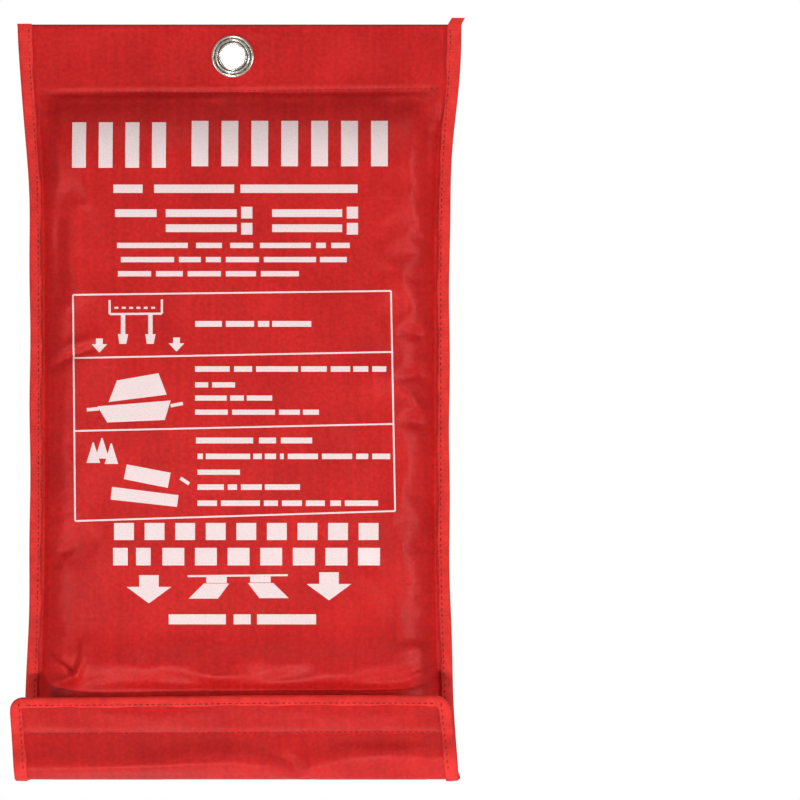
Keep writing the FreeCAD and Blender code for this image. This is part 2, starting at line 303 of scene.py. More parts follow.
def modelled_front(across, z):
    """Outer face of the front panel before its cloth simulation."""
    x_mm = across / MM
    drop = (top_z - z) / MM
    below_seam = np.maximum(0.0, seam_z - z)
    risen = np.minimum(1.0, below_seam / bulge_rise)
    body = pi * below_seam / (seam_z - mouth_z)
    depth = (mouth_depth + crown * np.sin(body)) * (1.0 - (1.0 - risen) ** bulge_sharpness)
    half = seam_half(z)
    share = np.minimum(1.0, np.abs(across) / half)
    full = 1.0 - share**side_exponent
    y = -depth * full - cloth
    started = smooth(below_seam / (10 * MM))
    dive = 1.0 - smooth((drop - dive_drop) / dive_length)
    y -= fullness(x_mm, drop, (1.0 - share) * half / MM) * MM * full * dive * started
    y -= all_creases(x_mm, drop) * MM * smooth((1.0 - share) * 12.0) * started
    deepest = -(mouth_depth + cloth) * full
    y = np.where(drop > fullest_drop - 3.0, np.minimum(y, deepest), y)
    inside = smooth((1.0 - share) * 8.0)
    header = 1.0 - smooth(below_seam / (6 * MM))
    return y - (seam_groove(x_mm, drop) + header_waves(across, z) * header) * MM * inside


# Meshes


def add_object(name, points, faces, smooth_angle=50.0):
    mesh = bpy.data.meshes.new(name)
    mesh.from_pydata([tuple(p) for p in points], [], faces)
    mesh.update()
    thing = bpy.data.objects.new(name, mesh)
    bpy.context.scene.collection.objects.link(thing)
    mesh.polygons.foreach_set("use_smooth", [True] * len(mesh.polygons))
    mesh.set_sharp_from_angle(angle=radians(smooth_angle))
    return thing


def set_map(thing, places):
    """Lays the flat cloth's own coordinates, in metres, on the mesh, from one place per vertex."""
    layer = thing.data.uv_layers.new(name="cloth")
    corners = np.empty(len(thing.data.loops), dtype=np.int32)
    thing.data.loops.foreach_get("vertex_index", corners)
    layer.data.foreach_set("uv", np.asarray(places, dtype=np.float32)[corners].ravel())


def grid_normals(points):
    down = np.gradient(points, axis=0)
    across = np.gradient(points, axis=1)
    normal = np.cross(across, down)
    return normal / np.linalg.norm(normal, axis=2, keepdims=True)


def grid_faces(rows, columns, offset=0, flip=False):
    index = np.arange(rows * columns).reshape(rows, columns) + offset
    corners = [index[:-1, :-1], index[1:, :-1], index[1:, 1:], index[:-1, 1:]]
    if flip:
        corners = corners[::-1]
    return np.stack([c.ravel() for c in corners], axis=1).tolist()


def rim_faces(rows, columns):
    """Faces that join the two sides of a sheet round its edge."""
    index = np.arange(rows * columns).reshape(rows, columns)
    loop = list(index[0, :]) + list(index[1:, -1])
    loop += list(index[-1, -2::-1]) + list(index[-2:0:-1, 0])
    shift = rows * columns
    faces = []
    for a, b in zip(loop, loop[1:] + loop[:1]):
        faces.append((int(a), int(b), int(b + shift), int(a + shift)))
    return faces


def closed_faces(rows, columns, flip=False):
    """Faces of a sheet with two sides and a rim, its outer points first."""
    faces = grid_faces(rows, columns) + grid_faces(rows, columns, rows * columns, True)
    faces += rim_faces(rows, columns)
    return [face[::-1] for face in faces] if flip else faces


def two_sided(name, outer, inner, places, flip=False):
    """Closed cloth from the grids of its two sides, with the flat cloth's coordinates."""
    rows, columns = outer.shape[:2]
    points = np.concatenate([outer.reshape(-1, 3), inner.reshape(-1, 3)])
    thing = add_object(name, points, closed_faces(rows, columns, flip))
    flat = places.reshape(-1, 2)
    set_map(thing, np.concatenate([flat, flat]))
    return thing


def sheet(name, points, thickness, places=None):
    """Closed cloth from a grid of points on its outer face. Rows run down, columns across."""
    rows, columns = points.shape[:2]
    inner = points + grid_normals(points) * thickness
    if places is None:
        down = np.linalg.norm(np.diff(points, axis=0), axis=2)
        along = np.linalg.norm(np.diff(points, axis=1), axis=2)
        v = np.concatenate([np.zeros((1, columns)), np.cumsum(down, axis=0)])
        u = np.concatenate([np.zeros((rows, 1)), np.cumsum(along, axis=1)], axis=1)
        places = np.stack([u, -v], axis=2)
    return two_sided(name, points, inner, places)


def tube_faces(count, size):
    """Faces of a closed tube through count loops of size points each."""
    faces = []
    for i in range(count - 1):
        for j in range(size):
            a = i * size + j
            b = i * size + (j + 1) % size
            faces.append((a, b, b + size, a + size))
    faces.append(tuple(range(size))[::-1])
    faces.append(tuple(range((count - 1) * size, count * size)))
    return faces


def path_lengths(path):
    """Distance along a path at each of its points."""
    return np.concatenate([[0.0], np.cumsum(np.linalg.norm(np.diff(path, axis=0), axis=1))])


def loft(name, sections):
    """Closed tube through sections of points, each a loop of the same length."""
    count, size = sections.shape[:2]
    thing = add_object(name, sections.reshape(-1, 3), tube_faces(count, size))
    round_it = np.linalg.norm(sections - np.roll(sections, 1, axis=1), axis=2)
    u = np.cumsum(round_it, axis=1)
    v = path_lengths(sections[:, 0])
    places = np.stack([u, np.repeat(v[:, None], size, axis=1)], axis=2)
    set_map(thing, places.reshape(-1, 2))
    return thing


# Materials


class Surface:
    """A material being made: its nodes, its links and its shader."""

    def __init__(self, name, colour, roughness):
        self.material = bpy.data.materials.new(name)
        self.material.use_nodes = True
        self.nodes = self.material.node_tree.nodes
        self.links = self.material.node_tree.links
        self.shader = self.nodes["Principled BSDF"]
        self.shade("Base Color", (*colour, 1.0))
        self.shade("Roughness", roughness)

    def feed(self, socket, value):
        """Links an input to another node's output, or sets it to a plain value."""
        if hasattr(value, "is_linked"):
            self.links.new(value, socket)
        else:
            socket.default_value = value

    def shade(self, name, value):
        self.feed(self.shader.inputs[name], value)

    def node(self, kind, **inputs):
        made = self.nodes.new("ShaderNode" + kind)
        for name, value in inputs.items():
            self.feed(made.inputs[name], value)
        return made

    def flat_place(self):
        """The flat cloth's own coordinates, in metres."""
        place = self.node("UVMap")
        place.uv_map = "cloth"
        return place.outputs["UV"]

    def solid_place(self):
        return self.node("TexCoord").outputs["Object"]

    def scaled(self, place, across, along):
        return self.node("Mapping", Vector=place, Scale=(across, along, 1.0)).outputs["Vector"]

    def noise(self, place, scale, detail=3.0):
        return self.node("TexNoise", Vector=place, Scale=scale, Detail=detail).outputs["Fac"]

    def combine(self, operation, first, second=0.0):
        made = self.node("Math")
        made.operation = operation
        for socket, value in zip(made.inputs, (first, second)):
            self.feed(socket, value)
        return made.outputs["Value"]

    def yarns(self, place, pitch, direction):
        """Rounded yarns side by side, pitch metres apart."""
        repeats = pi / (10.0 * pitch)
        wave = self.node("TexWave", Vector=place, Scale=repeats, Distortion=0.25, Detail=1.0)
        wave.bands_direction = direction
        return wave.outputs["Fac"]

    def weave(self, place, pitch):
        """Plain weave: warp and weft that rise over each other in turn."""
        warp = self.yarns(place, pitch, "X")
        weft = self.yarns(place, pitch, "Y")
        both = self.combine("MULTIPLY", warp, weft)
        return self.combine("SUBTRACT", self.combine("ADD", warp, weft), both)

    def bump(self, height, distance, strength=1.0, below=None):
        """Fine relief, laid over an earlier one where there is one."""
        made = self.node("Bump", Height=height, Distance=distance, Strength=strength)
        if below is not None:
            self.feed(made.inputs["Normal"], below)
        self.shade("Normal", made.outputs["Normal"])
        return made.outputs["Normal"]

    def colour(self, factor, stops):
        """Colours the surface by a factor, from (factor, colour) stops."""
        ramp = self.node("ValToRGB", Fac=factor)
        elements = ramp.color_ramp.elements
        for element, (position, colour) in zip(elements, (stops[0], stops[-1])):
            element.position = position
            element.color = (*colour, 1.0)
        for position, colour in stops[1:-1]:
            elements.new(position).color = (*colour, 1.0)
        self.shade("Base Color", ramp.outputs["Color"])

    def roughness(self, factor, low, high):
        spread = self.node("MapRange", **{"Value": factor, "To Min": low, "To Max": high})
        self.shade("Roughness", spread.outputs["Result"])


nylon_weave = 0.45 * MM  # pitch of the red cloth's yarns


def red_cloth_material():
    """Coated nylon in a plain weave, with the faint streaks of its warp."""
    look = Surface("red_cloth", (0.56, 0.03, 0.035), 0.42)
    place = look.flat_place()
    cloud = look.noise(place, 38.0, 4.0)
    streak = look.noise(look.scaled(place, 420.0, 14.0), 1.0, 3.0)
    grain = look.noise(place, 620.0, 2.0)
    shares = zip((cloud, streak, grain), (0.4, 0.2, 0.4))
    broad, faint, speckle = [look.combine("MULTIPLY", tone, share) for tone, share in shares]
    tone = look.combine("ADD", look.combine("ADD", broad, faint), speckle)
    dark, middle, light = (0.47, 0.009, 0.009), (0.57, 0.012, 0.011), (0.67, 0.016, 0.015)
    look.colour(tone, [(0.38, dark), (0.5, middle), (0.62, light)])
    look.roughness(cloud, 0.36, 0.46)
    soft = look.bump(look.noise(place, 900.0, 3.0), 0.1 * MM, 0.8)
    look.bump(look.weave(place, nylon_weave), 0.05 * MM, 0.8, soft)
    look.shade("Specular IOR Level", 0.4)
    look.shade("Specular Tint", (1.0, 0.55, 0.53, 1.0))
    look.shade("Sheen Weight", 0.03)
    look.shade("Sheen Roughness", 0.4)
    look.shade("Sheen Tint", (1.0, 0.4, 0.4, 1.0))
    return look.material


def binding_material():
    """Ribbed binding tape, brighter than the cloth."""
    look = Surface("red_binding", (0.75, 0.035, 0.03), 0.6)
    place = look.flat_place()
    cloud = look.noise(place, 160.0, 4.0)
    dark, middle, light = (0.66, 0.018, 0.014), (0.80, 0.024, 0.018), (0.90, 0.034, 0.026)
    look.colour(cloud, [(0.3, dark), (0.5, middle), (0.7, light)])
    soft = look.bump(look.yarns(place, 0.6 * MM, "Y"), 0.08 * MM, 0.9)
    look.bump(look.noise(place, 2600.0, 2.0), 0.05 * MM, 0.8, soft)
    look.roughness(cloud, 0.55, 0.7)
    look.shade("Specular IOR Level", 0.3)
    look.shade("Sheen Weight", 0.08)
    look.shade("Sheen Roughness", 0.5)
    return look.material


def groove_painted_shade(look, place):
    """Painted shade: how dark the eyelet's two grooves are painted, by the distance from its axis."""
    parts = look.node("SeparateXYZ", Vector=place)
    x, _, z = parts.outputs
    squares = [look.combine("MULTIPLY", side, side) for side in (x, z)]
    radius = look.combine("SQRT", look.combine("ADD", *squares))
    # a ring of painted shade at the radius of each of the two grooves
    dark = 0.0
    for groove, reach in ((7.45 * MM, 0.30 * MM), (6.1 * MM, 0.28 * MM)):
        away = look.combine("ABSOLUTE", look.combine("SUBTRACT", radius, groove))
        inside = look.combine("SUBTRACT", 1.0, look.combine("DIVIDE", away, reach))
        inside = look.combine("MULTIPLY", look.combine("MAXIMUM", inside), 0.6)
        dark = look.combine("ADD", inside, dark)
    return dark


def nickel_material():
    """Nickel plate with fine scratches, and painted shade in its grooves."""
    look = Surface("nickel_plate", (0.86, 0.83, 0.76), 0.28)
    look.shade("Metallic", 0.78)
    place = look.solid_place()
    cloud = look.noise(place, 700.0, 5.0)
    # the grooves' painted shade is taken off the tone, so there the colour falls towards the near-black
    # first stop
    bright = look.combine("SUBTRACT", cloud, groove_painted_shade(look, place))
    stops = [(0.0, (0.05, 0.045, 0.04)), (0.35, (0.78, 0.75, 0.66)), (0.7, (0.92, 0.90, 0.82))]
    look.colour(bright, stops)
    look.roughness(cloud, 0.18, 0.30)
    look.bump(look.noise(look.scaled(place, 2500.0, 300.0), 1.0, 2.0), 0.006 * MM, 0.3)
    return look.material


def pile_material(name, scale, distance, grey):
    """Black hook or loop tape."""
    look = Surface(name, (grey, grey, grey * 1.1), 0.85)
    cells = look.node("TexVoronoi", Vector=look.flat_place(), Scale=scale).outputs["Distance"]
    look.colour(cells, [(0.0, (grey * 2.2,) * 3), (1.0, (grey * 0.4,) * 3)])
    look.bump(cells, distance)
    look.shade("Sheen Weight", 0.08)
    look.shade("Sheen Roughness", 0.6)
    look.shade("Specular IOR Level", 0.25)
    return look.material


def webbing_material():
    """Black polyester webbing with its lengthwise ribs."""
    look = Surface("black_webbing", (0.015, 0.015, 0.017), 0.6)
    place = look.flat_place()
    tone = look.noise(place, 300.0, 3.0)
    look.colour(tone, [(0.3, (0.010, 0.010, 0.011)), (0.7, (0.028, 0.028, 0.031))])
    look.bump(look.weave(place, 1.1 * MM), 0.22 * MM)
    look.shade("Sheen Weight", 0.15)
    return look.material


def thread_material(name, colour):
    look = Surface(name, colour, 0.55)
    twist = look.noise(look.solid_place(), 4000.0, 2.0)
    dark = tuple(c * 0.6 for c in colour)
    light = tuple(min(1.0, c * 1.5) for c in colour)
    look.colour(twist, [(0.35, dark), (0.65, light)])
    look.bump(twist, 0.06 * MM, 0.8)
    return look.material


def glass_cloth_material():
    """White glass-fibre cloth, a coarse plain weave with a soft shine."""
    look = Surface("glass_cloth", (0.86, 0.86, 0.82), 0.5)
    fine = look.weave(look.flat_place(), 0.8 * MM)
    look.colour(fine, [(0.1, (0.46, 0.46, 0.44)), (0.7, (0.62, 0.62, 0.60)), (1.0, (0.68, 0.68, 0.66))])
    look.bump(fine, 0.12 * MM, 0.9)
    look.roughness(fine, 0.6, 0.4)
    look.shade("Sheen Weight", 0.2)
    return look.material


def ink_material():
    """White screen print, thin enough that the weave and some red show through."""
    look = Surface("print_ink", (0.93, 0.80, 0.80), 0.5)
    place = look.flat_place()
    worn = look.noise(place, 1500.0, 3.0)
    look.colour(worn, [(0.26, (0.84, 0.56, 0.56)), (0.42, (0.88, 0.70, 0.70)), (0.75, (0.90, 0.78, 0.78))])
    look.bump(look.weave(place, nylon_weave), 0.05 * MM, 0.6)
    return look.material


materials = {
    "red_cloth": red_cloth_material(),
    "red_binding": binding_material(),
    "nickel_plate": nickel_material(),
    "black_loop": pile_material("black_loop", 1900.0, 0.3 * MM, 0.010),
    "black_hook": pile_material("black_hook", 1300.0, 0.5 * MM, 0.008),
    "black_webbing": webbing_material(),
    "black_thread": thread_material("black_thread", (0.02, 0.012, 0.012)),
    "red_thread": thread_material("red_thread", (0.20, 0.009, 0.010)),
    "glass_cloth": glass_cloth_material(),
    "print_ink": ink_material(),
}


def finish_piece(thing, slot, body, *nodes):
    """Gives a piece its material, the body that it rides on and the nodes that it stands for."""
    thing.data.materials.append(materials[slot])
    if body:
        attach(thing, body)
    if nodes:
        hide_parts(*nodes)
    return thing


# Simulated wrinkles of the front panel

trial_size = 10.0  # the solver works best on cloth some metres across
simulated_steps = 24
most_inward = 1.6 * MM
most_outward = 2.6 * MM
pinned_below = 0.94  # share of the way down
relief_end = 0.908  # above the dive under the flap's edge
cloth_settings = {
    "quality": 6,
    "mass": 0.3,
    "tension_stiffness": 12.0,
    "compression_stiffness": 12.0,
    "shear_stiffness": 6.0,
    "bending_stiffness": 1.2,
    "air_damping": 4.0,
    "vertex_group_mass": "pins",
    "vertex_group_shrink": "snug",
    "shrink_min": -0.03,  # the extra cloth, where the group's weight is none
    "shrink_max": 0.0,
}


def weigh(thing, name, weights):
    """Vertex group with one weight for each vertex; a weight of nothing leaves it out."""
    group = thing.vertex_groups.new(name=name)
    for index, weight in enumerate(weights.ravel()):
        if weight is not None:
            group.add([index], float(weight), "REPLACE")


def settled(thing):
    """Places of the vertices after the simulation, and the trial piece is gone."""
    scene = bpy.context.scene
    for step in range(1, simulated_steps + 1):
        scene.frame_set(step)
    moved = thing.evaluated_get(bpy.context.evaluated_depsgraph_get()).data
    places = np.empty(len(moved.vertices) * 3)
    moved.vertices.foreach_get("co", places)
    bpy.data.objects.remove(thing)
    scene.frame_set(1)
    return places


def extra_cloth(shares, down, across, z):
    """Where the cloth is larger than its place: in patches beside the seams, and at the foot."""
    slack = np.clip((np.abs(shares) - 0.68) / 0.27, 0.0, 1.0)
    slack *= smooth(0.62 + 0.6 * waves(across / MM, z / MM, 31, 55.0)) * (0.8 + 0.2 * shares)
    return np.maximum(slack, np.clip((down - 0.86) / 0.08, 0.0, 1.0) * 0.45)


def kept_movement(out, to_side, down):
    """The movement outwards that the relief keeps: none at its top and foot, and little inwards
    in the middle, where the blanket lies behind the cloth."""
    out = np.clip(out, -most_inward, most_outward)
    behind = smooth((0.93 - to_side) / 0.12) * smooth((down - 0.06) / 0.06)
    out = np.where(out < 0.0, out * (1.0 - 0.85 * behind), out)
    return out * smooth(down / 0.05) * smooth((relief_end - down) / 0.035)


def simulate_relief():
    """Cloth simulation of the front panel, which fills in the relief.

    The cloth is a little larger than its place, most of all beside the seams and at the foot, and
    it is held along its border, so that it puckers as a sewn bag does. Only how far each place
    moves in or out is kept.
    """
    rows, columns = relief.shape
    shares, z = np.meshgrid(np.linspace(-1.0, 1.0, columns), np.linspace(seam_z, mouth_z, rows))
    down = np.repeat(np.linspace(0.0, 1.0, rows)[:, None], columns, axis=1)
    to_side = np.abs(shares)
    across = shares * seam_half(z)
    start = np.stack([across, modelled_front(across, z), z], axis=2)
    points = (start * trial_size).reshape(-1, 3)
    trial = add_object("trial_cloth", points, grid_faces(rows, columns))
    border = (to_side > 0.995) | (down < 0.001) | (down > pinned_below)
    weigh(trial, "pins", np.where(border, 1.0, None))
    weigh(trial, "snug", 1.0 - extra_cloth(shares, down, across, z))
    settings = trial.modifiers.new("cloth", "CLOTH").settings
    for name, value in cloth_settings.items():
        setattr(settings, name, value)
    settings.effector_weights.gravity = 0.0
    places = settled(trial).reshape(rows, columns, 3) / trial_size
    relief[:] = kept_movement(start[..., 1] - places[..., 1], to_side, down)


simulate_relief()


# Front and back panels

panel_step = 0.9 * MM
panel_share = 0.9  # of the cloth's full thickness, so that pieces sewn together don't touch
cloth_hole = eyelet_bore + 0.7 * MM


def panel_grid(z_high, z_low, half_at):
    """Grid over a panel, closer spaced towards its two sides."""
    rows = int(round((z_high - z_low) / panel_step)) + 1
    columns = int(round(2 * waist_half_width / panel_step)) + 1
    even = np.linspace(-1.0, 1.0, columns)
    closer = 0.35
    shares = np.sin(pi / 2 * even) * closer + even * (1.0 - closer)
    shares, z = np.meshgrid(shares, np.linspace(z_high, z_low, rows))
    return shares * half_at(z), z


def edge_half(z):
    return half_width(z) - trim


def front_points(across, z):
    """Points on the front panel's outer face, rolled back a little at the top edge."""
    y = front_surface(across, z)
    roll = cloth * (1.0 - np.minimum(1.0, (top_z - z) / cloth)) ** 2
    return np.stack([centre_x + across, y + roll, z], axis=2)


def punch(thing, radius):
    """Takes out the faces inside the eyelet and closes the cut edge."""
    work = bmesh.new()
    work.from_mesh(thing.data)
    inside = [f for f in work.faces if np.hypot(*f.calc_center_median().xz) < radius]
    bmesh.ops.delete(work, geom=inside, context="FACES")
    edges = [e for e in work.edges if e.is_boundary]
    for edge in edges:
        for vertex in edge.verts:
            spread = (radius + 0.3 * MM) / max(1e-6, np.hypot(vertex.co.x, vertex.co.z))
            vertex.co.x *= spread
            vertex.co.z *= spread
    bmesh.ops.bridge_loops(work, edges=edges)
    work.to_mesh(thing.data)
    work.free()


def front_cloth():
    across, z = panel_grid(top_z, mouth_z, edge_half)
    points = front_points(across, z)
    places = np.stack([across, z], axis=2)
    thing = sheet("front_cloth", points, cloth * panel_share, places)
    punch(thing, cloth_hole)
    return finish_piece(thing, "red_cloth", "pouch", "front_panel")


front_cloth()


# Cloth that runs from the back panel under the mouth and up the flap

turn_radius = 1.3 * MM


def turned_path(start, corner, end, step):
    """Path of (y, z) points from start to end with a rounded corner."""
    start, corner, end = (np.array(p) for p in (start, corner, end))
    before = (start - corner) / np.linalg.norm(start - corner)
    after = (end - corner) / np.linalg.norm(end - corner)
    first = corner + before * turn_radius
    last = corner + after * turn_radius
    centre = corner + (before + after) * turn_radius
    count = max(2, int(np.linalg.norm(start - first) / step))
    path = [start + (first - start) * t for t in np.linspace(0, 1, count)]
    turns = 8
    for i in range(1, turns):
        angle = pi / 2 * i / turns
        path.append(centre - after * turn_radius * cos(angle) - before * turn_radius * sin(angle))
    count = max(2, int(np.linalg.norm(end - last) / step))
    path += [last + (end - last) * t for t in np.linspace(0, 1, count)]
    return np.array(path)


fold_split_y = (back_mid_y + flap_mid_y) / 2
flap_end_z = flap_top_z - trim - 0.1 * MM
back_path = turned_path(
    (back_mid_y, top_z), (back_mid_y, fold_mid_z), (fold_split_y, fold_mid_z), 1.6 * MM
)
flap_path = turned_path(
    (fold_split_y, fold_mid_z), (flap_mid_y, fold_mid_z), (flap_mid_y, flap_end_z), 0.9 * MM
)


def path_normals(path):
    """Directions out of the cloth, away from the blanket, along a (y, z) path."""
    along = np.gradient(path, axis=0)
    along /= np.linalg.norm(along, axis=1, keepdims=True)
    return np.stack([-along[:, 1], along[:, 0]], axis=1)


def flap_lean(z):
    """How far the flap stands to the left at a height: it is sewn on a little askew."""
    share = (z - bottom_z) / (flap_top_z - bottom_z)
    return -(0.8 + 3.0 * np.clip(share, 0.0, 1.0)) * MM


# The flap's belly below its stitch row: places across, and how far down its crest lies
belly_across = (-90, -60, -30, 0, 14, 23, 32, 45, 62, 90)
belly_crest = (305.5, 305, 304, 302.5, 304.5, 308.5, 304.5, 301, 299.5, 300.5)
belly_height = (2.8, 5.2, 6.4, 6.0, 4.6, 1.6, 4.2, 4.6, 4.8, 2.8)
flap_creases = [
    ([(-84, 297), (-50, 300), (-24, 298)], 3.0, -0.5),
    ([(21, 312), (24, 307), (20, 300)], 1.5, -0.9),
    ([(27, 311), (30, 306), (27, 301)], 1.7, 0.7),
    ([(4, 293), (14, 299), (30, 304)], 2.4, -0.5),
    ([(46, 294), (62, 295.5), (80, 294)], 2.2, -0.35),
    ([(58, 301), (70, 300), (82, 302)], 3.0, 0.5),
    ([(-88, 300), (-84, 306)], 2.2, 0.5),
    ([(84, 296), (88, 304)], 2.2, 0.4),
    ([(-60, 282), (-30, 285), (-8, 282)], 3.2, 0.4),
    ([(20, 281), (44, 285), (70, 283)], 3.2, 0.35),
    ([(30, 287), (34, 281), (33, 278)], 2.0, -0.35),
]


def flap_wave(across, z):
    """How far the flap's front stands out from its flat place."""
    x_mm = across / MM
    drop = (top_z - z) / MM
    row_drop = (top_z - flap_row_z) / MM
    crest = np.interp(x_mm, belly_across, belly_crest)
    rising = smooth((drop - row_drop) / (crest - row_drop))
    falling = smooth((311.0 - drop) / (311.0 - crest))
    height = np.interp(x_mm, belly_across, belly_height) * rising * falling
    height += 0.25 + 0.22 * waves(x_mm, drop, 21, 48.0) + 0.07 * waves(x_mm, drop, 22, 14.0)
    for path, width, rise in flap_creases:
        height += crease(x_mm, drop, path, width, rise)
    stitched = np.exp(-(((z - flap_row_z) / MM / 1.3) ** 2))
    height = np.maximum(height, -0.1) * (1.0 - 0.8 * stitched) - 0.15 * stitched
    held = smooth((z - bottom_z) / (2.5 * MM))
    return height * MM * held


flap_row_z = flap_top_z - 14.4 * MM
flap_corner = 5.6 * MM


def flap_half(z):
    """Half the flap's width at a height, out to its binding's edge."""
    share = (z - bottom_z) / (flap_top_z - bottom_z)
    return flap_half_width - (1.0 + 0.6 * np.clip(share, 0.0, 1.0)) * MM


def flap_cloth_half(z):
    """Half width of the flap's cloth: it narrows a little upwards and its corners are round."""
    below_edge = np.clip(flap_top_z - trim - z, 0.0, flap_corner)
    cut = flap_corner - np.sqrt(flap_corner**2 - (flap_corner - below_edge) ** 2)
    return flap_half(z) - trim - cut


lower_step = 1.3 * MM


def path_cloth(name, path, half_at, wave_at=None, lean_at=None):
    """Cloth along a (y, z) path, cloth thick, its outer face on the side away from the blanket."""
    columns = int(round(2 * waist_half_width / lower_step)) + 1
    shares, z = np.meshgrid(np.linspace(-1.0, 1.0, columns), path[:, 1])
    along_path = (path[:, 0], *path_normals(path).T)
    y, out_y, out_z = (np.repeat(side[:, None], columns, axis=1) for side in along_path)
    across = shares * half_at(z)
    out = cloth / 2
    if wave_at is not None:
        out = out + wave_at(across, z)
    lean = lean_at(z) if lean_at is not None else 0.0
    outer = np.stack([centre_x + across + lean, y + out_y * out, z + out_z * out], axis=2)
    inner = outer - np.stack([0.0 * out_y, out_y, out_z], axis=2) * cloth * panel_share
    down = np.repeat(-path_lengths(path)[:, None], columns, axis=1)
    return two_sided(name, outer, inner, np.stack([across, down], axis=2), flip=True)


def back_half(z):
    """The back panel follows the side bindings, and widens to the flap at the fold."""
    widen = smooth((bottom_z + 5 * MM - z) / (5 * MM))
    return edge_half(z) * (1.0 - widen) + (flap_half_width - 0.8 * MM - trim) * widen


def back_wave(across, z):
    x_mm = across / MM
    drop = (top_z - z) / MM
    height = 0.3 * waves(x_mm, drop, 31, 70.0) + 0.08 * waves(x_mm, drop, 32, 18.0)
    inside = smooth((edge_half(z) - binding_width - np.abs(across)) / (6 * MM))
    held = smooth((z - bottom_z) / (12 * MM)) * smooth((top_z - header_height - z) / (8 * MM))
    return np.maximum(height, -0.2) * MM * inside * held


def lower_cloths():
    back = path_cloth("back_cloth", back_path, back_half, back_wave)
    punch(back, cloth_hole)
    finish_piece(back, "red_cloth", None, "back_panel", "bottom_fold")
    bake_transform(back)
    flap = path_cloth("flap_cloth", flap_path, flap_cloth_half, flap_wave, flap_lean)
    finish_piece(flap, "red_cloth", None, "flap_panel")
    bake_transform(flap)


lower_cloths()


# Binding tapes


def edge_section(width, cloth_half):
    """Section of a tape folded over an edge: places back from the edge, and through the cloth."""
    outer = cloth_half + trim
    puff = outer + 0.12 * MM
    turn = np.linspace(pi / 2, -pi / 2, 8)
    section = [(width, outer), (width - trim * 0.4, outer + 0.1 * MM)]
    section += [(width * 0.8, puff), (width * 0.6, puff)]
    section += [(outer - outer * cos(angle), outer * sin(angle)) for angle in turn]
    section += [(width * 0.6, -puff), (width * 0.8, -puff), (width, -outer), (width, -cloth_half)]
    section += [(outer - cloth_half * cos(angle), cloth_half * sin(angle)) for angle in -turn]
    return np.array(section + [(width, cloth_half)])


def tape_over_edge(name, origins, inward, outward, cloth_halves, widths, seed):
    """Tape swept along an edge. inward points back into the cloth, outward out of its front."""
    phases = np.random.default_rng(seed).uniform(0.0, 2.0 * pi, 3)
    run = path_lengths(origins) / MM
    wander = 0.22 * np.sin(run / 5.3 + phases[0]) + 0.12 * np.sin(run / 2.1 + phases[1])
    swell = 0.10 * np.sin(run * 2 * pi / 2.4) + 0.12 * np.sin(run / 3.7 + phases[2])
    rises = np.maximum(0.0, swell) * MM
    widths = widths + wander * MM
    cloth_halves = np.broadcast_to(cloth_halves, len(origins))
    ways = [np.broadcast_to(way, origins.shape) for way in (inward, outward)]
    sections = []
    for origin, into, out, width, rise, half in zip(origins, *ways, widths, rises, cloth_halves):
        back, through = edge_section(width, half).T
        puffed = (np.abs(through) > half + trim / 2) & (back > half + trim)
        through = through + np.sign(through) * rise * puffed
        sections.append(origin + np.outer(back, into) + np.outer(through, out))
    return loft(name, np.array(sections))


def side_width(drop):
    """Visible width of a side binding, wider at the top."""
    return 4.7 * MM + 1.1 * MM * np.exp(-((drop / 38.0) ** 2))


def side_sway(drop, seed):
    """How far a side binding wanders towards the wall or away from it."""
    return (0.1 * np.sin(drop / 14.0 + seed) + 0.05 * np.sin(drop / 5.2 + 2 * seed)) * MM


def side_tape(name, side, z_high, seed):
    heights = np.arange(z_high, bottom_z + cloth + trim, -0.8 * MM)
    drops = (top_z - heights) / MM
    edge = centre_x + side * half_width(heights)
    edge += side * 0.18 * MM * np.sin(drops / 9.0 + seed)
    edge += side * 0.55 * np.maximum(0.0, heights - top_z)
    origins = np.stack([edge, side_sway(drops, seed), heights], axis=1)
    into = (-side, 0.0, 0.0)
    tape = f"{name}_tape_binding"
    thing = tape_over_edge(tape, origins, into, forward, cloth, side_width(drops), seed)
    finish_piece(thing, "red_binding", "pouch", f"{name}_binding")


left_seed = 3
right_seed = 5
side_tape("left", -1, top_z + 0.3 * MM, left_seed)
side_tape("right", 1, top_z + binding_tail, right_seed)


def fold_tapes():
    """Bindings of the fold's two ends, from the pouch's back to the flap."""
    begins = back_mid_y - cloth
    path = np.concatenate([[[begins, fold_mid_z]], back_path[back_path[:, 0] < begins]])
    outward = np.insert(path_normals(path), 0, 0.0, axis=1)
    for name, side, seed in (("left", -1, 41), ("right", 1, 43)):
        x = centre_x + side * (flap_half_width - 0.5 * MM) - 0.8 * MM
        origins = np.insert(path, 0, x, axis=1)
        into = (-side, 0.0, 0.0)
        tape = f"fold_{name}_tape"
        thing = tape_over_edge(tape, origins, into, outward, cloth / 2, flap_binding_width, seed)
        finish_piece(thing, "red_binding", "flap_fold", f"fold_{name}_binding")


def flap_tape_wave(across, z):
    """How far the flap's edge tape stands out, taken from the cloth a little inside the edge."""
    return height_at(flap_wave, across * 0.95, z)


def flap_edge_sway(across, half):
    """How far the flap's top edge wanders up and down, and rises to the right."""
    return (0.3 * sin(across / MM / 31.0 + 0.6) + 0.3 * across / half) * MM


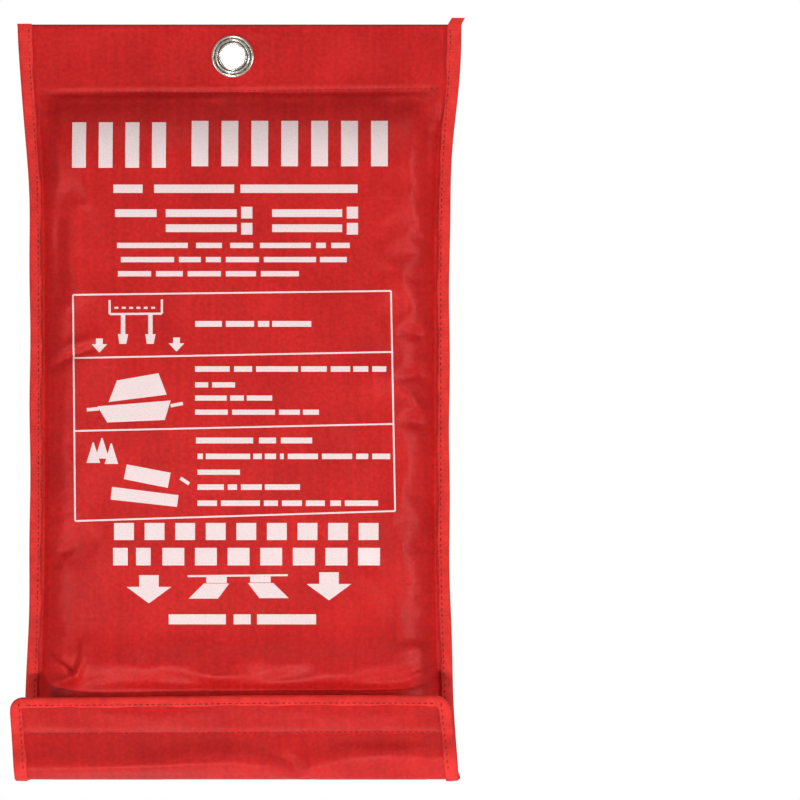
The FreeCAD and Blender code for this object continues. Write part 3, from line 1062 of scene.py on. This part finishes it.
def half_flap_edge():
    """Stations up the flap's left side, round its corner and along its top to the middle.

    Each is a place, the ways into the cloth and out of its front, and how much of the hook strip's
    thickness the tape takes in there.
    """
    stations = []
    upto = flap_path[:, 1] < flap_top_z - flap_corner
    for (y, z), (out_y, out_z) in zip(flap_path[upto], path_normals(flap_path)[upto]):
        stations.append((-float(flap_half(z)), y, z, (1.0, 0.0, 0.0), (0.0, out_y, out_z), 0.0))
    half = float(flap_half(flap_top_z))
    turns = 12
    for i in range(1, turns):
        angle = pi / 2 * i / turns
        x = -half + flap_corner - flap_corner * cos(angle)
        z = flap_top_z - flap_corner + flap_corner * sin(angle)
        into = (cos(angle), 0.0, -sin(angle))
        stations.append((x, flap_mid_y, z, into, forward, i / turns))
    for x in np.arange(-half + flap_corner, 0.0, 0.8 * MM):
        stations.append((float(x), flap_mid_y, flap_top_z, (0.0, 0.0, -1.0), forward, 1.0))
    return stations


def flap_tape():
    """One tape up the flap's left side, round its corners along its top, and down its right."""
    stations = half_flap_edge()
    for x, y, z, (into_x, into_y, into_z), out, thick in stations[::-1]:
        stations.append((-x, y, z, (-into_x, into_y, into_z), out, thick))
    half = float(flap_half(flap_top_z))
    strip_half = (hook_high[1] - flap_low[1] - cloth) / 2
    origins = []
    for x, y, z, _, out, thick in stations:
        wave = flap_tape_wave(x, z - 3 * MM * thick)
        rise = (flap_edge_sway(x, half) + 0.7 * MM) * thick
        flat = np.array((centre_x + x + float(flap_lean(z)), y + strip_half * thick, z + rise))
        origins.append(flat + np.array(out) * wave)
    origins = np.array(origins)
    *_, inward, outward, thick = zip(*stations)
    thick = np.array(thick)
    halves = cloth / 2 + strip_half * thick
    widths = (5.2 - 1.0 * thick) * MM
    thing = tape_over_edge("flap_edge_tape", origins, inward, outward, halves, widths, 47)
    nodes = ["flap_left_binding", "flap_right_binding", "flap_top_binding"]
    finish_piece(thing, "red_binding", None, *nodes)
    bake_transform(thing)


fold_tapes()
flap_tape()


# Hook and loop strips


def strips():
    """The loop strip on the front panel's mouth and the hook strip inside the flap."""
    rows = 22
    columns = 180
    thickness = 1.2 * MM
    draw = np.random.default_rng(51)
    half = (loop_high[0] - loop_low[0]) / 2
    heights = np.linspace(loop_high[2] - 0.8 * MM, loop_low[2], rows)
    across, z = np.meshgrid(np.linspace(-half, half, columns), heights)
    pile = draw.uniform(-0.1, 0.12, across.shape) * MM
    y = front_surface(across, z) - thickness - pile
    loop = sheet("loop_tape", np.stack([centre_x + across, y, z], axis=2), thickness)
    finish_piece(loop, "black_loop", "pouch", "loop_strip")
    half = (hook_high[0] - hook_low[0]) / 2 - 0.5 * MM
    heights = np.linspace(hook_high[2], hook_low[2], rows)
    across, z = np.meshgrid(np.linspace(-half, half, columns), heights)
    pile = draw.uniform(-0.12, 0.12, across.shape) * MM
    y = hook_high[1] + pile - flap_wave(across, z)
    points = np.stack([centre_x + across + flap_lean(z), y, z], axis=2)
    hook = sheet("hook_tape", points, -thickness)
    hook.data.flip_normals()
    finish_piece(hook, "black_hook", "flap", "hook_strip")


strips()


# Stitches


def stitch_template():
    """One stitch: a short rounded thread whose two ends dive into the cloth."""
    rings = 6
    sides = 6
    points = []
    for i in range(rings):
        t = -1.0 + 2.0 * i / (rings - 1)
        radius = max(0.12, (1.0 - t**4)) ** 0.5
        lift = 0.55 * (1.0 - t * t) - 0.35
        for j in range(sides):
            angle = 2.0 * pi * j / sides
            points.append((t, radius * cos(angle), lift + radius * 0.7 * sin(angle)))
    return np.array(points), tube_faces(rings, sides)


stitch_points, stitch_faces = stitch_template()


def stitches(name, rows, length=stitch_length, width=stitch_width):
    """One object with every stitch of several rows. Each stitch is its middle, its direction
    and the direction out of the cloth."""
    points = []
    faces = []
    for middle, along, out in rows:
        along = np.array(along) / np.linalg.norm(along)
        out = np.array(out) / np.linalg.norm(out)
        side = np.cross(out, along)
        local = stitch_points * (length / 2, width / 2, width / 2)
        placed = np.array(middle) + local @ np.stack([along, side, out])
        start = len(points) * len(stitch_points)
        points.append(placed)
        faces += [tuple(start + i for i in face) for face in stitch_faces]
    return add_object(name, np.concatenate(points), faces, 80.0)


def row(low, high, pitch=stitch_pitch):
    """Middles of evenly spaced stitches between two places."""
    count = max(2, int((high - low) / pitch))
    return [low + (high - low) * (i + 0.5) / count for i in range(count)]


def header_stitches():
    half = half_width(seam_z) - binding_width - 1.6 * MM
    made = []
    for x in row(-half, half):
        z = top_z - (seam_drop(x / MM) - 0.35) * MM
        y = height_at(front_surface, x, z)
        made.append(((centre_x + x, y, z), (1.0, 0.0, seam_slope), forward))
        made.append(((centre_x + x, back_high[1] + 0.05 * MM, z), (1.0, 0.0, 0.0), backward))
    thing = stitches("header_stitches", made)
    finish_piece(thing, "red_thread", "pouch", "header_seam_thread")


header_stitches()


def binding_stitches():
    proud = cloth + trim + 0.14 * MM
    for name, side, seed in (("left", -1, left_seed), ("right", 1, right_seed)):
        made = []
        for z in row(bottom_z + 3 * MM, top_z - 1.6 * MM):
            drop = (top_z - z) / MM
            x = centre_x + side * (half_width(z) - side_width(drop) + 1.1 * MM)
            sway = side_sway(drop, seed)
            tilt = 0.04 * sin(drop * 1.7)
            made.append(((x, sway - proud, z), (tilt, 0.0, 1.0), forward))
            made.append(((x, sway + proud, z), (tilt, 0.0, 1.0), backward))
        thing = stitches(f"{name}_binding_stitches", made)
        finish_piece(thing, "red_thread", "pouch", f"{name}_binding_thread")


binding_stitches()


def flap_stitches():
    """The hook strip's lower row, the row through the top tape and those through the side tapes."""
    made = []
    half = flap_half_width - flap_binding_width - 2.4 * MM
    for x in row(-half, half):
        z = flap_row_z + 0.4 * MM * sin(x / MM / 40.0)
        y = flap_mid_y - cloth / 2 - height_at(flap_wave, x, z)
        made.append(((centre_x + x + float(flap_lean(z)), y, z), (1.0, 0.0, 0.0), forward))
        z = flap_top_z - 2.6 * MM + flap_edge_sway(x, half)
        y = flap_low[1] - trim - 0.2 * MM - flap_tape_wave(x, flap_top_z - 3 * MM)
        made.append(((centre_x + x + float(flap_lean(z)), y, z), (1.0, 0.0, 0.0), forward))
    for side in (-1, 1):
        for z in row(bottom_z + 4 * MM, flap_top_z - 1.6 * MM):
            wave = flap_tape_wave(side * float(flap_half(z)), z)
            y = flap_mid_y - cloth / 2 - trim - 0.22 * MM - wave
            x = centre_x + side * (float(flap_half(z)) - 4.0 * MM)
            made.append(((x + float(flap_lean(z)), y, z), (0.0, 0.0, 1.0), forward))
    thing = stitches("flap_stitches", made)
    finish_piece(thing, "red_thread", "flap", "flap_thread")


def loop_stitches():
    made = []
    half = (loop_high[0] - loop_low[0]) / 2
    inset = 1.6 * MM
    for z in (loop_low[2] + inset, loop_high[2] - inset):
        for x in row(-half, half):
            y = height_at(front_surface, x, z) - 1.25 * MM
            made.append(((centre_x + x, y, z), (1.0, 0.0, 0.0), forward))
    thing = stitches("loop_stitches", made)
    finish_piece(thing, "black_thread", "pouch", "loop_strip_thread")


flap_stitches()
loop_stitches()


# Eyelet


def rounded(profile):
    """The profile with a smooth curve through its points, two samples for each."""
    fine = []
    for i in range(len(profile)):
        a, b, c, d = (profile[(i + step) % len(profile)] for step in (-1, 0, 1, 2))
        for t in (0.0, 0.5):
            bend = (2 * a - 5 * b + 4 * c - d) * t**2 + (3 * b - a - 3 * c + d) * t**3
            fine.append(b + 0.5 * ((c - a) * t + bend))
    return np.array(fine)


def lathe(name, profile, slot, node):
    """Ring turned round the eyelet's axis from closed (radius, y) points in millimetres."""
    turns = 96
    fine = rounded(np.array(profile) * MM)
    size = len(fine)
    angles = np.linspace(0.0, 2.0 * pi, turns, endpoint=False)
    x = np.cos(angles)[:, None] * fine[None, :, 0]
    z = np.sin(angles)[:, None] * fine[None, :, 0]
    y = np.repeat(fine[None, :, 1], turns, axis=0)
    faces = []
    for i in range(turns):
        for j in range(size):
            here = i * size
            there = (i + 1) % turns * size
            after = (j + 1) % size
            faces.append((here + j, there + j, there + after, here + after))
    thing = add_object(name, np.stack([x, y, z], axis=2).reshape(-1, 3), faces, 70.0)
    finish_piece(thing, slot, "pouch", node)


# From the front flange's rim inwards over its rings, through the bore and back outside it
eyelet_profile = [
    (8.55, -0.85), (8.60, -1.15), (8.35, -1.45), (7.95, -1.50), (7.66, -1.12), (7.42, -1.02),
    (7.20, -1.35), (6.95, -1.95), (6.60, -2.22), (6.28, -2.12), (6.10, -1.52), (5.95, -1.50),
    (5.75, -2.05), (5.45, -2.15), (5.18, -1.95), (5.02, -1.40), (5.00, 0.00), (5.00, 1.60),
    (5.15, 2.25), (5.60, 2.50), (6.05, 2.30), (6.15, 1.95), (5.75, 1.80), (5.50, 1.40),
    (5.50, 0.00), (5.55, -0.80), (7.00, -0.84),
]
washer_profile = [
    (5.60, 0.85), (5.60, 1.35), (6.30, 1.62), (7.20, 1.55), (7.85, 1.30), (8.00, 0.90),
    (7.00, 0.82),
]
lathe("eyelet_ring", eyelet_profile, "nickel_plate", "eyelet")
lathe("washer_ring", washer_profile, "nickel_plate", "eyelet_washer")


# Printing: plain bars, frames and arrows in place of the text and pictures

ink_step = 1.1
ink_lift = 0.09 * MM
ink_thickness = 0.07 * MM


def bar(x0, x1, d0, d1):
    return [(x0, d0), (x1, d0), (x1, d1), (x0, d1)]


def bars(d0, d1, *ends):
    """Plain bars in place of a line of words, from the words' starts and ends. They are lower
    than the words, so that as little of the cloth is covered."""
    margin = (d1 - d0) * 0.17
    return [bar(x0, x1, d0 + margin, d1 - margin) for x0, x1 in zip(ends[::2], ends[1::2])]


def blocks(x0, x1, d0, d1, count, gap):
    """A row of equal blocks between two places."""
    wide = (x1 - x0 - gap * (count - 1)) / count
    starts = [x0 + i * (wide + gap) for i in range(count)]
    return [bar(start, start + wide, d0, d1) for start in starts]


def stroke(a, b, width):
    """A straight line from a to b."""
    dx = b[0] - a[0]
    dd = b[1] - a[1]
    length = (dx * dx + dd * dd) ** 0.5
    nx = -dd / length * width / 2
    nd = dx / length * width / 2
    return [
        (a[0] + nx, a[1] + nd),
        (a[0] - nx, a[1] - nd),
        (b[0] - nx, b[1] - nd),
        (b[0] + nx, b[1] + nd),
    ]


def strokes(points, width):
    return [stroke(a, b, width) for a, b in zip(points, points[1:])]


def down_arrow(x, d0, d1, head, stem):
    """An arrow that points down: a stem and a wide head."""
    neck = d0 + (d1 - d0) * 0.42
    shapes = [bar(x - stem / 2, x + stem / 2, d0, neck)]
    shapes.append([(x - head / 2, neck), (x + head / 2, neck), (x + 0.2, d1), (x - 0.2, d1)])
    return shapes


# Each line of small bars: how far down, how high, and where its words start and end
small_lines = [
    (89.6, 3.3, -50, -21, -17.6, -7, -3.6, 5.8, 8.6, 29.4, 31.6, 35.6, 37.8, 45.4),
    (95.4, 3.3, -48.4, -26.6, -24.6, -15.6, -13.6, -7.4, -5.4, 8.2, 10.2, 31.6, 33.2, 44.2),
    (101.2, 3.3, -49.6, -36, -34, -23, -21, -7.4, -5.4, 7, 9, 24.6),
    (121.6, 3.6, -18, -7, -5.4, 6.2, 7.8, 12.4, 13.6, 29.6),
    (140.2, 3.4, -18, -3.8, -2, 5.4, 7, 24.2, 25.4, 36, 37.6, 45.6, 46.8, 53, 54.6, 60.4),
    (146.8, 3.2, -18, -12.6, -11, -1.6),
    (152.2, 3.2, -18, -5, -3.6, 2, 3.2, 13.6),
    (158.0, 3.2, -18, -4.6, -2.8, 14.8, 16.4, 25, 26.2, 32.8),
    (169.4, 3.6, -17.6, 5.8, 8.2, 15.2, 17.2, 30),
    (176.0, 3.4, -17, -14.8, -13.6, 4.6, 5.8, 9.4, 10.6, 15.2, 16.8, 18.4, 20, 32.4),
    (176.0, 3.4, 34, 46.4, 48, 53, 54.6, 62),
    (182.6, 3.2, -17, 0.4),
    (188.6, 3.4, -17, -6.2, -4.6, -0.8, 0.8, 9.4, 10.6, 25),
    (195.2, 3.4, -17, -9, -7.4, 8.6, 10.2, 16, 17.6, 25.8, 27.4, 35.2, 37.4, 41.8, 43.4, 57),
]


def print_shapes():
    """Four-cornered shapes of the whole print, in millimetres across and down."""
    shapes = blocks(-68.5, -30.0, 40.6, 59.4, 4, 5.2)
    shapes += blocks(-19.5, 61.0, 40.0, 58.8, 7, 5.4)
    shapes += bars(65.4, 70.6, -51.5, -39.5, -34.8, -2.0, 0.6, 48.6)
    shapes += bars(75.6, 80.4, -50.8, -33.8, -30.0, -0.9, 13.6, 42.3)
    shapes += bars(81.8, 86.6, -30.0, -0.9, 13.6, 42.3)
    shapes += [bar(x, x + 4.6, d, d + 4.8) for x in (0.9, 44.2) for d in (75.4, 82.0)]
    for down, high, *ends in small_lines:
        shapes += bars(down, down + high, *ends)
    frame_line = 0.7
    corners = [(-68.1, 111.5), (62.3, 109.9), (64, 200.1), (-67.2, 204.2), (-68.1, 111.5)]
    for points in (corners, [(-68, 137.4), (62.8, 134.9)], [(-67.6, 167.3), (63.4, 164.4)]):
        shapes += strokes(points, frame_line)
    shapes += blocks(-51.2, 57.2, 205.0, 212.0, 9, 4.4)
    shapes += blocks(-51.6, -36.2, 215.2, 222.4, 2, 3.4)
    shapes += blocks(-31.4, 57.8, 215.2, 222.4, 7, 4.4)
    shapes += down_arrow(-36.9, 226.4, 237.8, 18.4, 8.0)
    shapes += down_arrow(36.9, 225.2, 236.6, 18.4, 8.0)
    shapes += bars(241.4, 247.6, -28.8, -5.4, -2.2, 4.8, 7.4, 31.6)
    return shapes + picture_shapes()


def picture_shapes():
    """Three small pictures without people or hands, and one between the arrows."""
    thin = 0.9
    shapes = strokes([(-53, 113.6), (-53, 119.4), (-31.6, 119.2), (-31.6, 113.4)], thin)
    shapes += [bar(-51 + 3 * i, -49.4 + 3 * i, 116.4, 117.2) for i in range(6)]
    for x in (-48.4, -37.2):
        shapes.append(bar(x, x + 1.8, 119.4, 127.6))
        shapes.append([(x - 1.2, 127.6), (x + 3.0, 127.6), (x + 2.2, 131.6), (x - 0.6, 131.6)])
    shapes += down_arrow(-57.2, 129.4, 135.0, 6.4, 2.8)
    shapes += down_arrow(-25.6, 129.0, 134.6, 6.4, 2.8)
    # a cloth over a pan
    shapes.append([(-50, 146.6), (-33, 143.6), (-29.6, 152.4), (-53.4, 155.4)])
    shapes.append([(-58, 157.2), (-28, 154.8), (-30.4, 162.8), (-54, 163.8)])
    shapes += strokes([(-62.4, 158.6), (-57.4, 158.2)], 1.4)
    shapes += strokes([(-28, 157), (-23, 156)], 1.4)
    # flames beside a rolled bundle
    for x, d in ((-60, 172), (-56.4, 170.2), (-52.6, 172.4)):
        shapes.append([(x, d), (x + 0.5, d), (x + 3.1, d + 8.4), (x - 2.5, d + 8.4)])
    shapes.append([(-46, 181), (-28, 184.4), (-29.2, 190.6), (-47.2, 187)])
    shapes.append([(-52, 190.2), (-24.8, 193.6), (-25.4, 198.4), (-52.6, 195.4)])
    shapes += strokes([(-24, 186.6), (-20.4, 189)], 1.4)
    # two pull tapes on a bar
    shapes += strokes([(-21, 226.8), (20, 226.4)], 0.8)
    shapes.append(bar(-13.4, -5.0, 226.6, 229.6))
    shapes.append(bar(4.6, 13.0, 226.4, 229.4))
    shapes.append([(-14.4, 229.8), (-4.0, 229.8), (-8.6, 236.0), (-20.6, 236.0)])
    shapes.append([(3.6, 229.6), (14.0, 229.6), (20.4, 235.8), (8.4, 235.8)])
    return shapes


def laid_on_front(shape):
    """Grid over a four-cornered shape, laid on the front panel: across, height and points."""
    a, b, c, d = (np.array(p, dtype=float) for p in shape)
    wide = max(np.linalg.norm(b - a), np.linalg.norm(c - d))
    high = max(np.linalg.norm(d - a), np.linalg.norm(c - b))
    s = np.linspace(0, 1, int(wide / ink_step) + 2)[None, :, None]
    t = np.linspace(0, 1, int(high / ink_step) + 2)[:, None, None]
    flat = (a * (1 - s) + b * s) * (1 - t) + (d * (1 - s) + c * s) * t
    across = flat[..., 0] * MM
    z = top_z - flat[..., 1] * MM
    y = front_surface(across, z) - ink_lift
    return across, z, np.stack([centre_x + across, y, z], axis=2)


def print_piece():
    points = []
    faces = []
    places = []
    count = 0
    for shape in print_shapes():
        a, b, _, d = shape
        across, z, outer = laid_on_front(shape)
        rows, columns = across.shape
        mirrored = (b[0] - a[0]) * (d[1] - a[1]) < (b[1] - a[1]) * (d[0] - a[0])
        made = closed_faces(rows, columns, mirrored)
        faces += [tuple(int(i) + count for i in face) for face in made]
        inner = outer + (0.0, ink_thickness, 0.0)
        points += [outer.reshape(-1, 3), inner.reshape(-1, 3)]
        places += [np.stack([across, z], axis=2).reshape(-1, 2)] * 2
        count += 2 * rows * columns
    thing = add_object("front_print", np.concatenate(points), faces, 40.0)
    set_map(thing, np.concatenate(places))
    finish_piece(thing, "print_ink", "pouch")


print_piece()


# Folded blanket: one square sheet folded across, then down

blanket_side = 970 * MM
folds_across = 7
folds_down = 4
blanket_centre_x = (blanket_low[0] + blanket_high[0]) / 2
blanket_width = blanket_high[0] - blanket_low[0]
blanket_depth = blanket_high[1] - blanket_low[1]
layer_pitch = blanket_depth / (folds_across * folds_down)
blanket_cloth = layer_pitch * 0.6


def fold_places(count, turn_samples, flat_samples):
    """Samples along a strip folded to and fro count times: the panel, how far along it, and how
    far round the turn that follows it."""
    samples = []
    for panel in range(count):
        samples += [(panel, i / flat_samples, 0.0) for i in range(flat_samples)]
        if panel < count - 1:
            samples += [(panel, 1.0, (i + 0.5) / turn_samples) for i in range(turn_samples)]
    samples.append((count - 1, 1.0, 0.0))
    return samples


def pack_fullness(from_middle, z):
    """The folded pack is thinner at its folds than in its middle."""
    to_side = (blanket_width / 2 - np.abs(from_middle)) / (9 * MM)
    to_end = np.minimum(blanket_high[2] - z, z - blanket_low[2]) / (9 * MM)
    return 0.62 + 0.38 * smooth(to_side) * smooth(to_end + 0.15)


def fold_across():
    """Places across the pack, and through one folded strip, of the sheet folded sideways."""
    turn_radius = layer_pitch / 2
    half = blanket_width / 2 - turn_radius
    columns = []
    for panel, share, turn in fold_places(folds_across, 5, 9):
        start = -half if panel % 2 == 0 else half
        x = start * (1 - 2 * share)
        through = (panel + 0.5) * layer_pitch
        if turn > 0.0:
            x = np.sign(x) * (half + turn_radius * sin(pi * turn))
            through += turn_radius * (1 - cos(pi * turn))
        columns.append((x, through))
    return np.array(columns).T


def loose_end(panel, share):
    """How far a row belongs to one of the sheet's two free ends, which hang a little uneven."""
    if panel == 0 and share < 0.5:
        return (1 - share) ** 8
    if panel == folds_down - 1 and share > 0.5:
        return share**8
    return 0.0


def blanket_wave(x, z):
    """Slight waves of the pack, none towards its two ends."""
    wave = 0.35 * MM * waves(x / MM, z / MM, 71, 52.0)
    wave *= smooth((blanket_high[2] - z) / (20 * MM))
    return wave * smooth((z - blanket_low[2] - 14 * MM) / (20 * MM))


def blanket_row(panel, share, turn, across, through):
    """Points of one row across the sheet, where the folded strip is folded up and down."""
    strip = layer_pitch * folds_across
    low = blanket_low[2] + strip
    high = blanket_high[2] - strip - 2 * MM
    rising = panel % 2 == 0
    if not rising:
        low, high = high, low
        through = strip - through
    z = low + (high - low) * share + 0.0 * through
    depth = panel * strip + through
    if turn > 0.0:
        radius = strip - through
        z += (1.0 if rising else -1.0) * radius * sin(pi * turn)
        depth = (panel + 1) * strip - radius * cos(pi * turn)
    in_strip = through if rising else strip - through
    z -= loose_end(panel, share) * strip * (0.55 + 0.4 * np.sin(in_strip / strip * 9.0))
    depth = blanket_depth / 2 + (depth - blanket_depth / 2) * pack_fullness(across, z)
    x = blanket_centre_x + across
    return np.stack([x, blanket_high[1] - depth + blanket_wave(x, z), z], axis=1)


def folded_blanket():
    across, through = fold_across()
    rows = [blanket_row(*place, across, through) for place in fold_places(folds_down, 9, 22)]
    u = np.linspace(0.0, blanket_side, len(across))
    v = np.linspace(0.0, blanket_side, len(rows))
    places = np.stack(np.meshgrid(u, v), axis=2)
    thing = sheet("blanket_cloth", np.array(rows), blanket_cloth, places)
    finish_piece(thing, "glass_cloth", "blanket", "folded_blanket")


folded_blanket()


def hem_stitches():
    """Stitched hems of the blanket's lower front and back edges."""
    made = []
    half = blanket_width / 2 - 3 * MM
    for x in row(-half, half, 3.2 * MM):
        for above in (12.0 * MM, 4.6 * MM):
            z = blanket_low[2] + above
            thin = blanket_depth / 2 * (1.0 - float(pack_fullness(x, z))) - 0.02 * MM
            place = blanket_centre_x + x
            made.append(((place, blanket_low[1] + thin, z), (1.0, 0.0, 0.0), forward))
            made.append(((place, blanket_high[1] - thin, z), (1.0, 0.0, 0.0), backward))
    thing = stitches("hem_stitches", made, 2.2 * MM, 0.45 * MM)
    finish_piece(thing, "glass_cloth", "blanket")
    set_map(thing, [(0.0, 0.0)] * len(thing.data.vertices))


hem_stitches()


# Pull tapes

tape_half = 0.4 * MM  # half the webbing's thickness
tape_step = 1.1 * MM
tape_width = root_high[0] - root_low[0]
root_middle = (root_low[0] + root_high[0]) / 2
root_y = root_low[1] + 0.5 * MM
pull_y = pull_low[1] + 0.5 * MM
tape_fold_z = (pull_low[2] + pull_high[2]) / 2
root_length = 16 * MM
box_inset = 1.6 * MM


def pull_tape(side, seed):
    """Webbing sewn on the blanket, folded at 45 degrees to lie across the pocket."""
    reach = pull_high[0] - root_middle
    bend_radius = (root_y - pull_y) / 2
    length = root_high[2] - tape_fold_z + reach
    columns = 11
    down = np.linspace(0.0, length, int(length / tape_step))[:, None]
    place = np.linspace(-tape_width / 2, tape_width / 2, columns)[None, :]
    flat_x = place + 0.0 * down
    flat_z = root_high[2] - down + 0.0 * place
    # signed distance below the crease, which runs at 45 degrees through the tape's middle
    past = ((tape_fold_z - flat_z) - side * flat_x) / 2**0.5
    angle = np.clip(past / bend_radius, 0.0, pi)
    over = np.maximum(0.0, past - pi * bend_radius)
    # the grid is the tape's face on the inner side of its bend
    inner_radius = bend_radius - tape_half
    shift = np.where(past > 0.0, inner_radius * np.sin(angle) - over, past) - past
    middle = centre_x + side * (root_middle - centre_x)
    x = middle + flat_x - side * shift / 2**0.5
    z = flat_z - shift / 2**0.5
    phase = np.random.default_rng(seed).uniform(0.0, 2 * pi)
    sway = (1.0 + np.sin(down / MM / 9.0 + phase)) * smooth((down - 40 * MM) / (12 * MM))
    y = root_y - bend_radius + inner_radius * np.cos(angle) - 0.12 * MM * sway
    return np.stack([x, y, z], axis=2)


def box_stitches(x):
    """A box with a cross in it, sewn through a tape's root."""
    half = tape_width / 2 - box_inset
    low = root_high[2] - root_length + box_inset
    high = root_high[2] - box_inset
    middle = (low + high) / 2
    y = root_low[1] + 0.08 * MM
    made = []
    for z in (low, high):
        made += [((x + place, y, z), (1.0, 0.0, 0.0), forward) for place in row(-half, half)]
    for place in (-half, half):
        made += [((x + place, y, z), (0.0, 0.0, 1.0), forward) for z in row(low, high)]
    for side in (1, -1):
        for t in np.linspace(-0.85, 0.85, 6):
            place = (x + side * half * t, y, middle + (high - low) / 2 * t)
            made.append((place, (side, 0.0, 1.0), forward))
    return made


def pull_tapes():
    for name, side, seed in (("left", -1, 61), ("right", 1, 62)):
        points = pull_tape(side, seed)
        rows, columns = points.shape[:2]
        u = np.linspace(0.0, tape_width, columns)
        v = np.linspace(0.0, tape_step * rows, rows)
        places = np.stack(np.meshgrid(u, v), axis=2)
        thing = sheet(f"{name}_webbing", points, 2 * tape_half, places)
        finish_piece(thing, "black_webbing", None, f"{name}_tape_root", f"{name}_pull_tape")
        x = points[0, columns // 2, 0]
        # the bend lies between the two faces of the tape, which stay flat
        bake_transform(thing)
        thing = stitches(f"{name}_box_stitches", box_stitches(x))
        finish_piece(thing, "black_thread", "blanket", f"{name}_tape_thread")


pull_tapes()


# Floor, light and camera


def area_light(name, place, aim, size, power, colour):
    data = bpy.data.lights.new(name, "AREA")
    data.shape = "RECTANGLE"
    data.size, data.size_y = size
    data.energy = power
    data.color = colour
    lamp = bpy.data.objects.new(name, data)
    bpy.context.scene.collection.objects.link(lamp)
    point_at(lamp, place, aim)


def point_at(thing, place, aim):
    thing.location = place
    direction = Vector(aim) - Vector(place)
    thing.rotation_euler = direction.to_track_quat("-Z", "Y").to_euler()


def pale_floor():
    """A plain floor, brightened to the camera only, so that it throws no light on the pouch."""
    side = 1.5
    corners = [(-side, -side), (side, -side), (side, side), (-side, side)]
    floor = add_object("floor", [(x, y, -floor_drop) for x, y in corners], [(0, 1, 2, 3)])
    look = Surface("pale_floor", (0.9, 0.9, 0.9), 0.8)
    seen = look.node("LightPath").outputs["Is Camera Ray"]
    look.shade("Emission Strength", look.combine("MULTIPLY", seen, 0.6))
    look.shade("Emission Color", (1.0, 1.0, 1.0, 1.0))
    floor.data.materials.append(look.material)


def white_world():
    """A faint sky that lights the pouch, and plain white behind it for the camera."""
    world = bpy.data.worlds.new("studio")
    bpy.context.scene.world = world
    world.use_nodes = True
    nodes = world.node_tree.nodes
    links = world.node_tree.links
    paper = nodes.new("ShaderNodeBackground")
    looks = ((nodes["Background"], (0.93, 0.96, 1.0, 1.0), 0.15), (paper, (1.0,) * 4, 1.0))
    mix = nodes.new("ShaderNodeMixShader")
    for slot, (background, colour, strength) in enumerate(looks, 1):
        background.inputs["Color"].default_value = colour
        background.inputs["Strength"].default_value = strength
        links.new(background.outputs["Background"], mix.inputs[slot])
    seen = nodes.new("ShaderNodeLightPath").outputs["Is Camera Ray"]
    links.new(seen, mix.inputs["Fac"])
    links.new(mix.outputs["Shader"], nodes["World Output"].inputs["Surface"])


floor_drop = 1.2
lit_middle = (centre_x, -0.015, -0.14)
warm = (1.0, 0.98, 0.96)
plain = (1.0, 1.0, 1.0)
studio_lights = [  # name, place, size, power and colour
    ("key_low", (-0.12, -1.3, -0.92), (0.22, 0.12), 9.2, warm),
    ("front_high", (0.25, -1.2, 1.1), (0.5, 0.4), 5.2, warm),
    ("side_left", (-1.1, -0.8, -0.45), (0.4, 0.5), 5.2, plain),
    ("side_right", (1.15, -0.7, -0.22), (0.4, 0.5), 6.8, plain),
    ("rim", (0.3, 0.9, 0.8), (0.8, 0.4), 5.0, plain),
    ("back", (-0.2, 1.7, 0.2), (0.9, 0.7), 15.0, plain),
]


def front_camera():
    """A far camera straight in front, so that the pouch is seen nearly without perspective."""
    camera = bpy.data.cameras.new("camera")
    camera.lens = 400.0
    camera.sensor_width = 36.0
    frame_width = 0.328
    distance = frame_width * camera.lens / camera.sensor_width
    eye = bpy.data.objects.new("camera", camera)
    bpy.context.scene.collection.objects.link(eye)
    aim = (0.0689, -0.015, -0.1414)
    point_at(eye, (aim[0], aim[1] - distance, aim[2]), aim)
    bpy.context.scene.camera = eye


def studio():
    bpy.context.scene.view_settings.view_transform = "Standard"
    white_world()
    for name, place, size, power, colour in studio_lights:
        area_light(name, place, lit_middle, size, power, colour)
    under = (centre_x, 0.0, -0.78)
    floor_spot = (centre_x, 0.01, -floor_drop)
    area_light("floor_wash", under, floor_spot, (1.6, 1.6), 4.0, plain)
    pale_floor()
    front_camera()


studio()
